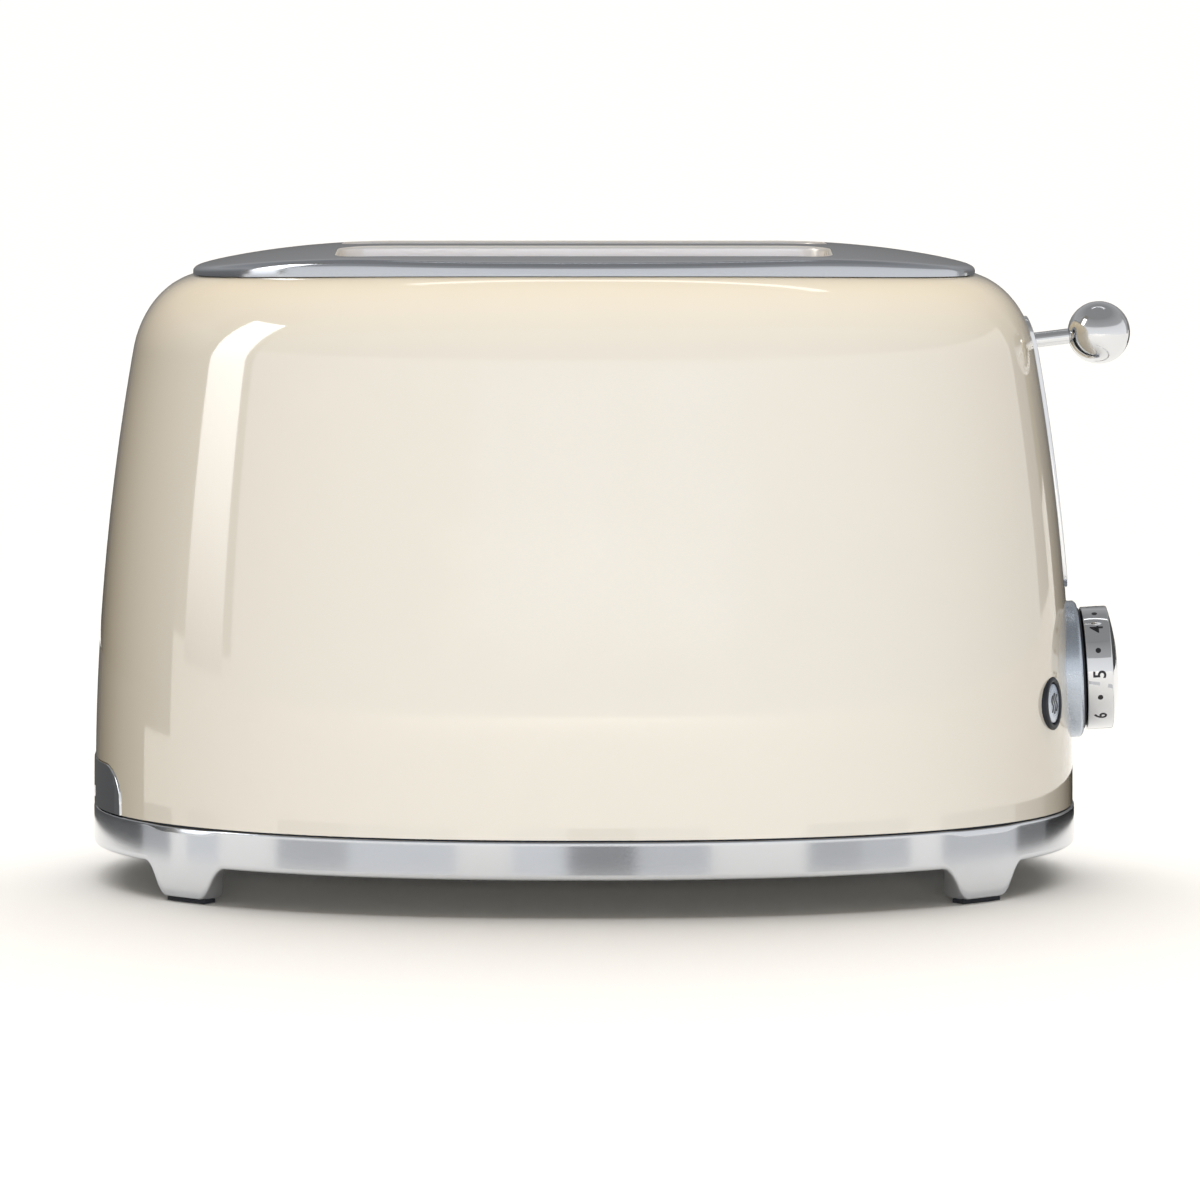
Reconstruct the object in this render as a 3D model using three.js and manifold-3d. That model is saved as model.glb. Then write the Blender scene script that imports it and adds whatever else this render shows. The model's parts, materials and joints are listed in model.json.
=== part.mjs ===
// A two-slice pop-up toaster as an assembly: enamelled shell, chrome base, steel top and the works inside.
// Millimetres. X runs along the length to the lever and dial end, Y to the back, Z up from the feet.
import * as THREE from "three";
import { mergeVertices } from "three/addons/utils/BufferGeometryUtils.js";
import Module from "manifold-3d";

const wasm = await Module();
wasm.setup();

// Overall sizes
const baseLength = 308;
const baseWidth = 195;
const bodyHeight = 198; // feet to the crown of the top
const planPower = 2.25; // squareness of the oval plan
const planSides = 48;
const fineSides = 36; // sides of the dial and its bezel
const roundSides = 24; // sides of the other turned pieces
const smallSides = 12; // sides of screws, rods and their holes
const arcSteps = 6; // straight pieces to a quarter turn of an outline
const cornerShare = 1 - Math.SQRT1_2; // how far in a rounding's middle stands, as a share of its radius
const gap = 0.3; // air between pieces that meet
const sheet = 1.2; // pressed steel

// Base with its four feet
const skirtTop = 23.3;
const skirtBottom = 11.5;
const skirtWall = 2.2;
const skirtRound = 2.4;
const skirtLip = 0.6;
const footAngle = 39; // degrees round the plan, from +X
const footHalfBottom = 9.2;
const footHalfTop = 14;
const footFillet = 4;
const footCorner = 2;
const footDepth = 8;
const padHeight = 2;
const padInset = 1.6;

// Floor
const floorBottom = 14;
const floorThickness = 1.2;
const floorGap = 0.5;
const bossAngles = [60, 120, 240, 300];
const bossInset = 6.4;
const bossRadius = 4.5;
const screwRadius = 1.5;
const screwHeadRadius = 3;
const screwHeadHeight = 1.8;
const screwLength = 7;
const hookOffset = 45;
const hookWidth = 10;
const hookStem = 4;
const hookReach = 11;
const hookBottom = 4.5;
const glandFromEnd = 36;
const glandOffset = 38;
const glandRadius = 6;
const glandNeck = 4.8;
const glandBore = 3.2;
const glandFlange = 1.5;

// Shell
const shellInset = 0.5;
const shellSeam = 0.5; // shadow line between the shell and the base
const flankSteps = 4;
const shoulderSteps = 6;
const flankLean = 12.8; // how far the flank leans in below the shoulder
const shoulderHeight = 25.5;
const rimLedge = 6;
const rimSag = 2.6; // how far the rim drops from the middle to the ends
const sagPower = 2.6;
const sagFade = 30;

// Top panel
const rimInset = 32;
const rimDepth = 6.3; // rim's lower edge below the crown
const crownAcross = 2.3;
const crownAlong = 6.6;
const crownFlat = 15; // the crown stays level to this short of the slot ends
const panelWall = 1.5;
const rimRound = 1.6;
const sideRoom = 51.5; // base side to the slot's outer edge
const endRoom = 78.8; // base end to the slot's end
const slotSpacing = 16; // panel between the two slots
const slotCorner = 8.5;
const flangeWall = 1.2;
const flangeDrop = 8;

// Controls on the lever end
const dialHeight = 64.6;
const dialTilt = 3.2; // degrees, the axis leans up
const bezelRadius = 21.45;
const bezelFront = 3.2;
const bezelDepth = 6.5;
const bezelWall = 2.2;
const bezelFloor = 1.5;
const bezelFloorBore = 12;
const bezelRound = 0.8;
const ringFront = 4;
const dialBack = 4.3;
const dialCorner = 12.4;
const dialCrown = 15.1;
const dialCupFloor = 9.2;
const dialEdge = 0.7;
const dialRings = 3; // bands of the dial's curved face
const stopRadius = 11;
const stopTravel = 1.2;
const shaftRadius = 3;
const shaftRecess = 1; // the shaft's end below the dial's cup
const pinGap = 0.4;
const buttonHeight = 62.4;
const buttonClear = 6.3; // between the bezel and a button's rim, across the wall
const buttonTurn = 20; // degrees away from +X
const buttonRadius = 6.1;
const buttonRimRadius = 8.25;
const buttonProud = 0.9;
const buttonDepth = 3.5;
const potRadius = 8;
const boardStandoff = 13;
const boardThickness = 1.6;
const boardHalf = [24, 33];
const switchHalf = 2.6;
const switchHeight = 1.7;
const switchOffset = 30.5;

// Lever
const leverDrop = 30; // crown of the top to the lever's axis at the wall
const leverTilt = 7;
const leverRadius = 2.4;
const ballRadius = 9.75;
const ballReach = 20.8; // ball's middle past the wall
const ballSocket = 5;
const trimSlot = 6;
const trimFlange = 2.6;
const trimTongue = 1;
const trimProud = 1;
const trimDepth = 3;
const trimRoom = [5.1, 8.5]; // free slot past the lever at its top and its bottom
const trimMargin = 7; // slot's end above the dial's bezel

// Toasting works
const chassisClear = 6; // above the tray's rim
const chassisHeadroom = 26; // below the crown of the top
const chassisGap = 9; // past the slots' ends
const rackClear = 6; // above the chassis plates' foot
const rackHeight = 6;
const rackWall = 2;
const cardWall = 0.8;
const ribbonWall = 0.4;
const ribbonWidth = 3;
const ribbonRuns = 9;
const guardWall = 1.5;
const guardInset = 1.5; // a guard stands this far inside the slot's edge when open
const guardClosed = 6.5; // slot's middle to a guard when closed on thin bread
const guardWindows = 9;
const guardBar = 1.6;
const shieldStep = 8; // outer card to heat shield
const rodRadius = 2;
const rodSpacing = 28;
const rodReach = 21.8; // chassis plate to the guide rods
const rodOverhang = 3;
const sleeveRadius = 4.5;
const carriageStep = 5; // carriage plate to the guide rods
const carriageSkirt = 2;
const carriageHeight = 14;
const stemHalf = 8;
const rackEar = 6;
const rackTabs = 8;
const keeperWall = 2;
const keeperMargin = 2; // the keeper past the magnet's pole
const coreFlange = 1; // the core's foot past its coil
const coreFoot = 18;
const springRadius = 3.6;
const springWire = 0.5;
const springTurns = 8;
const springSteps = 6; // straight pieces to a turn
const springOffset = 26;
const magnetReach = 18; // guide rods to the magnet
const magnetOffset = 24;
const poleRadius = 4;
const coilRadius = 8.5;

// Crumb tray
const trayMargin = 5; // handle past the tray at each side
const traySill = 1.9; // above the base
const trayHeight = 8.8;
const trayWall = 1;
const handleHalfWidth = 41.5;
const handleHeight = 13.3;
const handleCorner = 11;
const handleProud = 0.4;
const handleDepth = 0.9;
const tongueHalf = 14;
const railMargin = 8.5; // tray past its rails at each side
const terminalSize = [20, 14, 14];
const terminalGap = 2;

// Worked-out places
const halfLength = baseLength / 2;
const halfWidth = baseWidth / 2;
const rad = THREE.MathUtils.degToRad;
const slotHalfLength = halfLength - endRoom;
const slotHalfWidth = (halfWidth - sideRoom - slotSpacing / 2) / 2;
const slotMiddle = slotSpacing / 2 + slotHalfWidth;
const slotOuter = slotMiddle + slotHalfWidth;
const guardOpen = slotHalfWidth - guardInset;
const rackHalf = guardClosed - guardWall;
const shellFoot = skirtTop + shellSeam;
const trayBottom = skirtTop + traySill;
const trayHalfWidth = handleHalfWidth - trayMargin;
const handleTop = trayBottom + handleHeight;
const railOffset = trayHalfWidth - railMargin;
const chassisBottom = trayBottom + trayHeight + chassisClear;
const rackFloor = chassisBottom + rackClear; // lowest place of the bread racks
const cardFoot = rackFloor;
const rimHeight = bodyHeight - rimDepth;
const shellTop = rimHeight - gap;
const shellRim = rimInset - gap;
const flankHeight = shellTop - shoulderHeight - shellFoot;
const flankRadius = (flankHeight ** 2 + flankLean ** 2) / (2 * flankLean);
const flankAngle = Math.asin(flankHeight / flankRadius);
const shoulderRun = shellRim - shellInset - flankLean;
const shoulderTurn = Math.atan2(shoulderRun, shoulderHeight) - flankAngle;
const shoulderRadius = Math.hypot(shoulderRun, shoulderHeight) / (2 * Math.sin(shoulderTurn));
const shoulderCentre = [
  shellInset + flankLean + shoulderRadius * Math.cos(flankAngle),
  shellFoot + flankHeight - shoulderRadius * Math.sin(flankAngle),
];
const leverHeight = bodyHeight - leverDrop;
const leverSlotBottom = dialHeight + bezelRadius + trimMargin;
const leverSlotTop = leverHeight + trimRoom[0];
const leverTravel = leverHeight - leverRadius - trimRoom[1] - leverSlotBottom;
const chassisX = slotHalfLength + chassisGap;
const chassisTop = bodyHeight - chassisHeadroom;
const cardOuter = slotOuter + chassisGap - cardWall;
const shieldY = cardOuter + shieldStep;
const rackRest = rackFloor + leverTravel;
const rodX = chassisX + rodReach;
const magnetX = rodX + magnetReach;
const floorTop = floorBottom + floorThickness;
const glandX = glandFromEnd - halfLength;
const carriageX = rodX - carriageStep;
const rackTail = 2 * rackWall - slotHalfLength;
const springFoot = rackRest + carriageHeight / 2;
const springTop = chassisTop - sheet - gap;
const keeperTop = rackRest + carriageSkirt;
const stemTop = leverHeight - (wallX(leverHeight) - carriageX) * Math.tan(rad(leverTilt)) + 2 * leverRadius;
const trayFront = gap - ovalHalfLengthAt(handleHalfWidth, shellInset + handleDepth);
const dialRadius = bezelRadius - bezelWall;
const buttonOffset = bezelRadius + buttonClear + buttonRimRadius;
const dialSeat = controlSeat(dialHeight, 0, 0);
const buttons = [["reheat", -1], ["defrost", 1]].map(([name, side]) => ({
  name,
  side,
  seat: controlSeat(buttonHeight, side * buttonOffset, side * buttonTurn),
}));
const bossPlaces = bossAngles.map((angle) => ovalPoint(rad(angle), bossInset));

// ---- Shape helpers ----

function toSolid(geometry) {
  const bare = geometry.clone();
  bare.deleteAttribute("normal");
  bare.deleteAttribute("uv");
  const merged = mergeVertices(bare, 1e-4);
  return new wasm.Manifold(
    new wasm.Mesh({
      numProp: 3,
      vertProperties: merged.attributes.position.array,
      triVerts: Uint32Array.from(merged.index.array),
    }),
  );
}

function toGeometry(made) {
  const { vertProperties, triVerts } = made.getMesh();
  const geometry = new THREE.BufferGeometry();
  geometry.setAttribute("position", new THREE.BufferAttribute(vertProperties, 3));
  geometry.setIndex(new THREE.BufferAttribute(triVerts, 1));
  geometry.computeVertexNormals();
  return geometry;
}

const combine = (action) => (body, ...others) =>
  toGeometry(others.reduce((made, other) => made[action](toSolid(other)), toSolid(body)));
const join = combine("add");
const cut = combine("subtract");
const common = combine("intersect");

// A box between two opposite corners.
function block(low, high) {
  const size = high.map((value, i) => value - low[i]);
  const middle = high.map((value, i) => (value + low[i]) / 2);
  return new THREE.BoxGeometry(...size).translate(...middle);
}

// A section of [radius, height] points turned round Z; it closes on itself or on the axis.
function turned(section, sides = roundSides) {
  const loop = section.map(([radius, height]) => new THREE.Vector2(radius, height));
  if (section[0][0] > 0) loop.push(loop[0]);
  return new THREE.LatheGeometry(loop, sides).rotateX(Math.PI / 2);
}

const drum = (radius, bottom, top, sides = roundSides) =>
  turned([[0, bottom], [radius, bottom], [radius, top], [0, top]], sides);

const tube = (bore, radius, bottom, top, sides = roundSides) =>
  turned([[bore, bottom], [radius, bottom], [radius, top], [bore, top]], sides);

// A point of the oval plan at an angle from +X, inset from the base's outline.
function ovalPoint(angle, inset) {
  const bend = (value) => Math.sign(value) * Math.abs(value) ** (2 / planPower);
  return [(halfLength - inset) * bend(Math.cos(angle)), (halfWidth - inset) * bend(Math.sin(angle))];
}

// The oval's half length along a line at an offset from the middle.
function ovalHalfLengthAt(offset, inset) {
  const share = Math.abs(offset) / (halfWidth - inset);
  return (halfLength - inset) * (1 - share ** planPower) ** (1 / planPower);
}

// A section of [inset, height] points carried round the oval plan. Heights may follow the place in the plan.
function ovalTurned(section, heightAt = (x, y, height) => height) {
  const closed = section[0][0] < halfWidth ? [...section, section[0]] : section;
  const loop = closed.map(([inset, height]) => new THREE.Vector2(halfWidth - inset, height));
  const geometry = new THREE.LatheGeometry(loop, planSides);
  const place = geometry.attributes.position;
  for (let i = 0; i < place.count; i++) {
    const angle = (2 * Math.PI * Math.floor(i / closed.length)) / planSides;
    const [inset, height] = closed[i % closed.length];
    const [x, y] = ovalPoint(angle, inset);
    place.setXYZ(i, x, y, heightAt(x, y, height, angle));
  }
  return geometry;
}

// An outline drawn out along Z from its own plane.
function extruded(outline, depth, curveSegments) {
  return new THREE.ExtrudeGeometry(outline, { depth, curveSegments, bevelEnabled: false });
}

// An outline in the plane across X, as a prism between two places along X.
function prismAlongX(outline, from, to) {
  return extruded(outline, to - from, arcSteps)
    .rotateX(Math.PI / 2)
    .rotateZ(Math.PI / 2)
    .translate(from, 0, 0);
}

// A rectangle with round corners.
function roundedOutline(left, right, bottom, top, corner) {
  const outline = new THREE.Shape();
  outline.absarc(right - corner, bottom + corner, corner, -Math.PI / 2, 0);
  outline.absarc(right - corner, top - corner, corner, 0, Math.PI / 2);
  outline.absarc(left + corner, top - corner, corner, Math.PI / 2, Math.PI);
  outline.absarc(left + corner, bottom + corner, corner, Math.PI, Math.PI * 1.5);
  return outline;
}

// The shell's outer line from its foot to its rim, or a line parallel to it at a depth inside.
function shellLine(depth) {
  const line = [];
  for (let i = 0; i <= flankSteps; i++) {
    const angle = (flankAngle * i) / flankSteps;
    line.push([
      shellInset + flankRadius - (flankRadius - depth) * Math.cos(angle),
      shellFoot + (flankRadius - depth) * Math.sin(angle),
    ]);
  }
  for (let i = 1; i <= shoulderSteps; i++) {
    const angle = flankAngle + (2 * shoulderTurn * i) / shoulderSteps;
    line.push([
      shoulderCentre[0] - (shoulderRadius - depth) * Math.cos(angle),
      shoulderCentre[1] + (shoulderRadius - depth) * Math.sin(angle),
    ]);
  }
  return line;
}

// The outer wall's X at the lever end, at a height.
function wallX(height) {
  const rise = height - shellFoot;
  if (rise <= flankHeight)
    return halfLength - shellInset - flankRadius + Math.sqrt(flankRadius ** 2 - rise ** 2);
  const over = height - shoulderCentre[1];
  return halfLength - shoulderCentre[0] + Math.sqrt(shoulderRadius ** 2 - over ** 2);
}

const sagAt = (angle) => rimSag * Math.abs(Math.cos(angle)) ** ((2 * sagPower) / planPower);

function shellHeightAt(x, y, height, angle) {
  const share = Math.max(0, (height - shellFoot) / (shellTop - shellFoot));
  return height - sagAt(angle) * share ** sagFade;
}

// A band of the wall between two depths, used to shape what follows the wall.
function wallBand(outer, inner) {
  return ovalTurned([...shellLine(outer), ...shellLine(inner).reverse()], shellHeightAt);
}

// A group on the wall whose own Z is the control's axis, pointing out.
function controlSeat(height, offset, turn) {
  const seat = new THREE.Group();
  seat.position.set(ovalHalfLengthAt(offset, halfLength - wallX(height)), offset, height);
  seat.rotation.set(0, Math.PI / 2 - rad(dialTilt), rad(turn), "ZYX");
  seat.updateMatrix();
  return seat;
}

// ---- Finishes ----

const finish = (color, roughness, metalness) =>
  new THREE.MeshStandardMaterial({ color, roughness, metalness });
const enamel = finish(0xe9dfc6, 0.18, 0);
const chrome = finish(0xd9dbde, 0.12, 1);
const satinChrome = finish(0xc3c6ca, 0.3, 1);
const polishedSteel = finish(0xb9bcc1, 0.15, 1);
const galvanised = finish(0xa9adb0, 0.45, 1);
const springSteel = finish(0x8d9196, 0.35, 1);
const blackPlastic = finish(0x17181a, 0.5, 0);
const blackRubber = finish(0x1c1c1c, 0.8, 0);
const mica = finish(0xb5a57e, 0.6, 0);
const nichrome = finish(0x6d655c, 0.45, 1);
const copper = finish(0xa5603a, 0.4, 1);
const circuitGreen = finish(0x2e5a3a, 0.55, 0);

const toaster = new THREE.Group();

function add(name, geometry, material, parent = toaster) {
  const mesh = new THREE.Mesh(geometry, material);
  mesh.name = name;
  parent.add(mesh);
  return mesh;
}

// ---- Base ----

// A foot's outline along the base: straight flanks, eased into the skirt and rounded at the sole.
function footOutline(bottom, top) {
  const spread = (footHalfTop - footHalfBottom) / (skirtBottom - bottom);
  const fillet = [footHalfTop - spread * footFillet, skirtBottom - footFillet];
  const corner = [footHalfBottom + spread * footCorner, bottom + footCorner];
  const outline = new THREE.Shape();
  outline.moveTo(-footHalfTop - footFillet, top);
  outline.lineTo(-footHalfTop - footFillet, skirtBottom);
  outline.quadraticCurveTo(-footHalfTop, skirtBottom, -fillet[0], fillet[1]);
  outline.lineTo(-corner[0], corner[1]);
  outline.quadraticCurveTo(-footHalfBottom, bottom, footCorner - footHalfBottom, bottom);
  outline.lineTo(footHalfBottom - footCorner, bottom);
  outline.quadraticCurveTo(footHalfBottom, bottom, corner[0], corner[1]);
  outline.lineTo(fillet[0], fillet[1]);
  outline.quadraticCurveTo(footHalfTop, skirtBottom, footHalfTop + footFillet, skirtBottom);
  outline.lineTo(footHalfTop + footFillet, top);
  return outline;
}

// A foot's prism, pointing out square to the plan at the foot's place in one quarter.
function footPrism(outline, sideX, sideY) {
  const [x, y] = ovalPoint(rad(footAngle), 0);
  const slopeX = x ** (planPower - 1) / halfLength ** planPower;
  const slopeY = y ** (planPower - 1) / halfWidth ** planPower;
  const facing = Math.atan2(slopeY * sideY, slopeX * sideX);
  return extruded(outline, 4 * footDepth, arcSteps / 2)
    .translate(0, 0, -3 * footDepth)
    .rotateX(Math.PI / 2)
    .rotateZ(facing + Math.PI / 2)
    .translate(x * sideX, y * sideY, 0);
}

const quarters = [
  ["front_left", -1, -1],
  ["front_right", 1, -1],
  ["back_left", -1, 1],
  ["back_right", 1, 1],
];

function baseFrame() {
  const round = skirtRound * cornerShare;
  const skirt = ovalTurned([
    [skirtRound, skirtBottom],
    [round, skirtBottom + round],
    [0, skirtBottom + skirtRound],
    [0, skirtTop - skirtLip],
    [skirtLip, skirtTop],
    [skirtWall, skirtTop],
    [skirtWall + skirtLip, skirtBottom + skirtRound],
    [skirtRound + skirtLip, skirtBottom],
  ]);
  const legRing = ovalTurned([
    [0, padHeight],
    [0, floorBottom - gap],
    [footDepth, floorBottom - gap],
    [footDepth, padHeight],
  ]);
  const legs = quarters.map(([, sideX, sideY]) =>
    common(legRing, footPrism(footOutline(padHeight, skirtTop), sideX, sideY)));
  const bosses = bossPlaces.map(([x, y]) =>
    drum(bossRadius, floorTop + gap, skirtTop - skirtLip).translate(x, y, 0));
  const bores = bossPlaces.map(([x, y]) =>
    drum(screwRadius + gap, skirtBottom, floorBottom + screwLength + gap, smallSides).translate(x, y, 0));
  return cut(join(skirt, ...legs, ...bosses), ...bores);
}

function footPad(sideX, sideY) {
  const ring = ovalTurned([
    [padInset, 0],
    [padInset, padHeight - gap],
    [footDepth - padInset, padHeight - gap],
    [footDepth - padInset, 0],
  ]);
  const width = footHalfBottom - padInset;
  const sole = new THREE.Shape([
    new THREE.Vector2(-width, -padHeight),
    new THREE.Vector2(width, -padHeight),
    new THREE.Vector2(width, skirtBottom),
    new THREE.Vector2(-width, skirtBottom),
  ]);
  return common(ring, footPrism(sole, sideX, sideY));
}

function bottomPlate() {
  const edge = skirtWall + skirtLip + floorGap;
  const plate = ovalTurned([
    [halfWidth, floorBottom],
    [edge, floorBottom],
    [edge, floorTop],
    [halfWidth, floorTop],
  ]);
  const holes = bossPlaces.map(([x, y]) =>
    drum(screwRadius + gap, skirtBottom, skirtTop, smallSides).translate(x, y, 0));
  const glandHole = drum(glandNeck + gap, skirtBottom, skirtTop).translate(glandX, glandOffset, 0);
  const rails = [-1, 1].map((side) =>
    block([-chassisX, side * railOffset - sheet, floorBottom + gap],
      [slotHalfLength, side * railOffset + sheet, trayBottom - gap]));
  return cut(join(plate, ...rails), ...holes, glandHole);
}

function baseScrew([x, y]) {
  const seat = floorBottom - gap;
  return turned([
    [0, seat - screwHeadHeight],
    [screwHeadRadius - screwHeadHeight / 2, seat - screwHeadHeight],
    [screwHeadRadius, seat - screwHeadHeight / 2],
    [screwHeadRadius, seat],
    [screwRadius, seat],
    [screwRadius, seat + screwLength],
    [0, seat + screwLength],
  ], smallSides).translate(x, y, 0);
}

// A grommet in the floor, where a lead would come out.
function cordGland() {
  return turned([
    [glandBore, floorBottom - gap - glandFlange],
    [glandRadius, floorBottom - gap - glandFlange],
    [glandRadius, floorBottom - gap],
    [glandNeck, floorBottom - gap],
    [glandNeck, floorTop + gap],
    [glandRadius, floorTop + gap],
    [glandRadius, floorTop + gap + glandFlange],
    [glandBore, floorTop + gap + glandFlange],
  ]).translate(glandX, glandOffset, 0);
}

// A T-shaped hook under the floor, for winding a lead round.
function cordHook(side) {
  const half = hookWidth / 2;
  return join(
    block([-half, -hookStem / 2, hookBottom + hookStem / 4], [half, hookStem / 2, floorBottom - gap]),
    block([-half, -hookReach, hookBottom], [half, hookReach, hookBottom + hookStem / 2]),
  ).translate(side * hookOffset, 0, 0);
}

// ---- Shell and top ----

function leverSlotOutline(margin) {
  const half = trimSlot / 2 + margin;
  return roundedOutline(-half, half, leverSlotBottom - margin, leverSlotTop + margin, half);
}

function handleOutline(margin, bottom) {
  const half = handleHalfWidth + margin;
  const corner = handleCorner + margin;
  const top = handleTop + margin;
  const outline = new THREE.Shape();
  outline.moveTo(-half, bottom);
  outline.lineTo(half, bottom);
  outline.absarc(half - corner, top - corner, corner, 0, Math.PI / 2);
  outline.absarc(corner - half, top - corner, corner, Math.PI / 2, Math.PI);
  return outline;
}

function bodyShell() {
  const outer = shellLine(0);
  const inner = shellLine(sheet).reverse();
  const ledge = shellRim + rimLedge;
  const skin = ovalTurned([...outer, [ledge, shellTop], [ledge, shellTop - sheet], ...inner], shellHeightAt);
  const leverSlot = prismAlongX(leverSlotOutline(trimTongue + gap), halfLength / 2, baseLength);
  const trayMouth = prismAlongX(handleOutline(gap, skirtBottom), -baseLength, -halfLength / 2);
  const dialHole = drum(bezelRadius + gap, -2 * bezelDepth, 2 * bezelDepth, fineSides)
    .applyMatrix4(dialSeat.matrix);
  const buttonHoles = buttons.map(({ seat }) =>
    drum(buttonRimRadius + gap, -buttonRimRadius, buttonRimRadius).applyMatrix4(seat.matrix));
  const collarRooms = [-1, 1].map((side) =>
    upright(slotOutline(side, flangeWall + gap), bodyHeight - 2 * flangeDrop, bodyHeight));
  return cut(skin, leverSlot, trayMouth, dialHole, ...buttonHoles, ...collarRooms);
}

function domeAt(x, y) {
  const flat = slotHalfLength - crownFlat;
  const past = Math.max(0, Math.abs(x) - flat) / (halfLength - rimInset - flat);
  return bodyHeight - crownAcross * (y / (halfWidth - rimInset)) ** 2 - crownAlong * past ** 2;
}

// Heights in the panel's section are depths below the dome, and shrink with the rim towards the ends.
function panelHeightAt(x, y, depth, angle) {
  const band = domeAt(...ovalPoint(angle, rimInset)) - rimHeight + sagAt(angle);
  return domeAt(x, y) - (depth * band) / (rimDepth - crownAcross);
}

function slotOutline(side, margin) {
  return roundedOutline(
    -slotHalfLength - margin,
    slotHalfLength + margin,
    side * slotMiddle - slotHalfWidth - margin,
    side * slotMiddle + slotHalfWidth + margin,
    slotCorner + margin,
  );
}

function upright(outline, bottom, top) {
  return extruded(outline, top - bottom, arcSteps).translate(0, 0, bottom);
}

function topPanel() {
  const rings = (from, to, count) =>
    Array.from({ length: count + 1 }, (_, i) => from + ((to - from) * i) / count);
  const band = rimDepth - crownAcross;
  const edge = rimInset + rimRound;
  const skin = ovalTurned([
    ...rings(halfWidth, rimInset + panelWall, 3).map((inset) => [inset, panelWall]),
    [rimInset + panelWall, band],
    [rimInset, band],
    [rimInset, rimRound],
    [rimInset + rimRound * cornerShare, rimRound * cornerShare],
    ...rings(edge, halfWidth, 5).map((inset) => [inset, 0]),
  ], panelHeightAt);
  const under = ovalTurned([
    [halfWidth, 2 * flangeDrop],
    [edge, 2 * flangeDrop],
    ...rings(edge, halfWidth, 5).map((inset) => [inset, panelWall / 2]),
  ], panelHeightAt);
  const flanges = [-1, 1].map((side) => {
    const collar = slotOutline(side, flangeWall);
    collar.holes.push(slotOutline(side, 0));
    return common(upright(collar, bodyHeight - flangeDrop, bodyHeight), under);
  });
  const mouths = [-1, 1].map((side) =>
    upright(slotOutline(side, 0), bodyHeight - 2 * flangeDrop, bodyHeight + sheet));
  return join(cut(skin, ...mouths), ...flanges);
}

// ---- Controls ----

function leverSlotTrim() {
  const reach = (margin) => prismAlongX(leverSlotOutline(margin), halfLength / 2, baseLength);
  const flange = common(wallBand(-trimProud, -gap), reach(trimFlange));
  const tongue = common(wallBand(-trimProud, trimDepth), reach(trimTongue));
  return cut(join(flange, tongue), reach(0));
}

function dialBezel() {
  const bore = bezelRadius - bezelWall;
  const floorTopFace = bezelFloor - bezelDepth;
  return turned([
    [shaftRadius + pinGap, -bezelDepth],
    [bezelRadius, -bezelDepth],
    [bezelRadius, bezelFront - bezelRound],
    [bezelRadius - bezelRound, bezelFront],
    [bore + bezelRound, bezelFront],
    [bore, bezelFront - bezelRound],
    [bore, floorTopFace],
    [shaftRadius + pinGap, floorTopFace],
  ], fineSides);
}

// The dial face's height at a distance from its axis.
const faceAt = (radius) => dialCrown - (dialCrown - dialCorner) * (radius / dialRadius) ** 2;

function browningDial() {
  const bore = stopRadius + gap;
  const rim = dialRadius - dialEdge;
  const rings = Array.from({ length: dialRings + 1 }, (_, i) => rim + ((bore - rim) * i) / dialRings);
  return turned([
    [shaftRadius + gap, dialBack],
    [rim, dialBack],
    [dialRadius, dialBack + dialEdge],
    [dialRadius, dialCorner - dialEdge],
    ...rings.map((radius) => [radius, faceAt(radius)]),
    [bore, dialCupFloor],
    [shaftRadius + gap, dialCupFloor],
  ], fineSides);
}

function stopButton() {
  const back = dialCupFloor + stopTravel + gap;
  return turned([
    [0, back],
    [stopRadius, back],
    [stopRadius, faceAt(stopRadius) - dialEdge],
    [stopRadius - dialEdge, faceAt(stopRadius)],
    [stopRadius / 2, faceAt(stopRadius / 2)],
    [0, dialCrown],
  ], fineSides);
}

function buttonRim() {
  const bore = buttonRadius + pinGap;
  return turned([
    [bore, -buttonDepth],
    [buttonRimRadius, -buttonDepth],
    [buttonRimRadius, buttonProud],
    [buttonRimRadius - pinGap, buttonProud + pinGap],
    [bore, buttonProud + pinGap],
  ]);
}

function buttonCap() {
  return turned([
    [0, -buttonDepth / 2],
    [buttonRadius, -buttonDepth / 2],
    [buttonRadius, buttonProud / 2],
    [buttonRadius - pinGap, buttonProud],
    [0, buttonProud + pinGap / 2],
  ]);
}

function addControls() {
  add("dial_bezel", dialBezel(), satinChrome, dialSeat);
  const ring = tube(bezelFloorBore, bezelRadius - bezelWall - gap, gap, ringFront, fineSides);
  add("dial_shadow_ring", ring, blackPlastic, dialSeat);
  add("browning_dial", browningDial(), chrome, dialSeat);
  add("stop_button", stopButton(), chrome, dialSeat);
  add("dial_shaft", drum(shaftRadius, -bezelDepth - gap, dialCupFloor - shaftRecess), galvanised, dialSeat);
  const pot = drum(potRadius, gap - boardStandoff, -bezelDepth - 2 * gap);
  add("dial_potentiometer", pot, blackPlastic, dialSeat);
  const board = block(
    [-boardHalf[0], -boardHalf[1], -boardStandoff - boardThickness],
    [boardHalf[0], boardHalf[1], -boardStandoff],
  );
  add("control_board", board, circuitGreen, dialSeat);
  for (const { name, side, seat } of buttons) {
    add(name + "_button_rim", buttonRim(), blackPlastic, seat);
    add(name + "_button", buttonCap(), satinChrome, seat);
    toaster.add(seat);
    const box = block([-switchHalf, -switchHalf, gap], [switchHalf, switchHalf, switchHeight])
      .translate(dialHeight - buttonHeight, side * switchOffset, -boardStandoff);
    add(name + "_switch", box, blackPlastic, dialSeat);
  }
  toaster.add(dialSeat);
}

// ---- Lever and carriage ----

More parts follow.
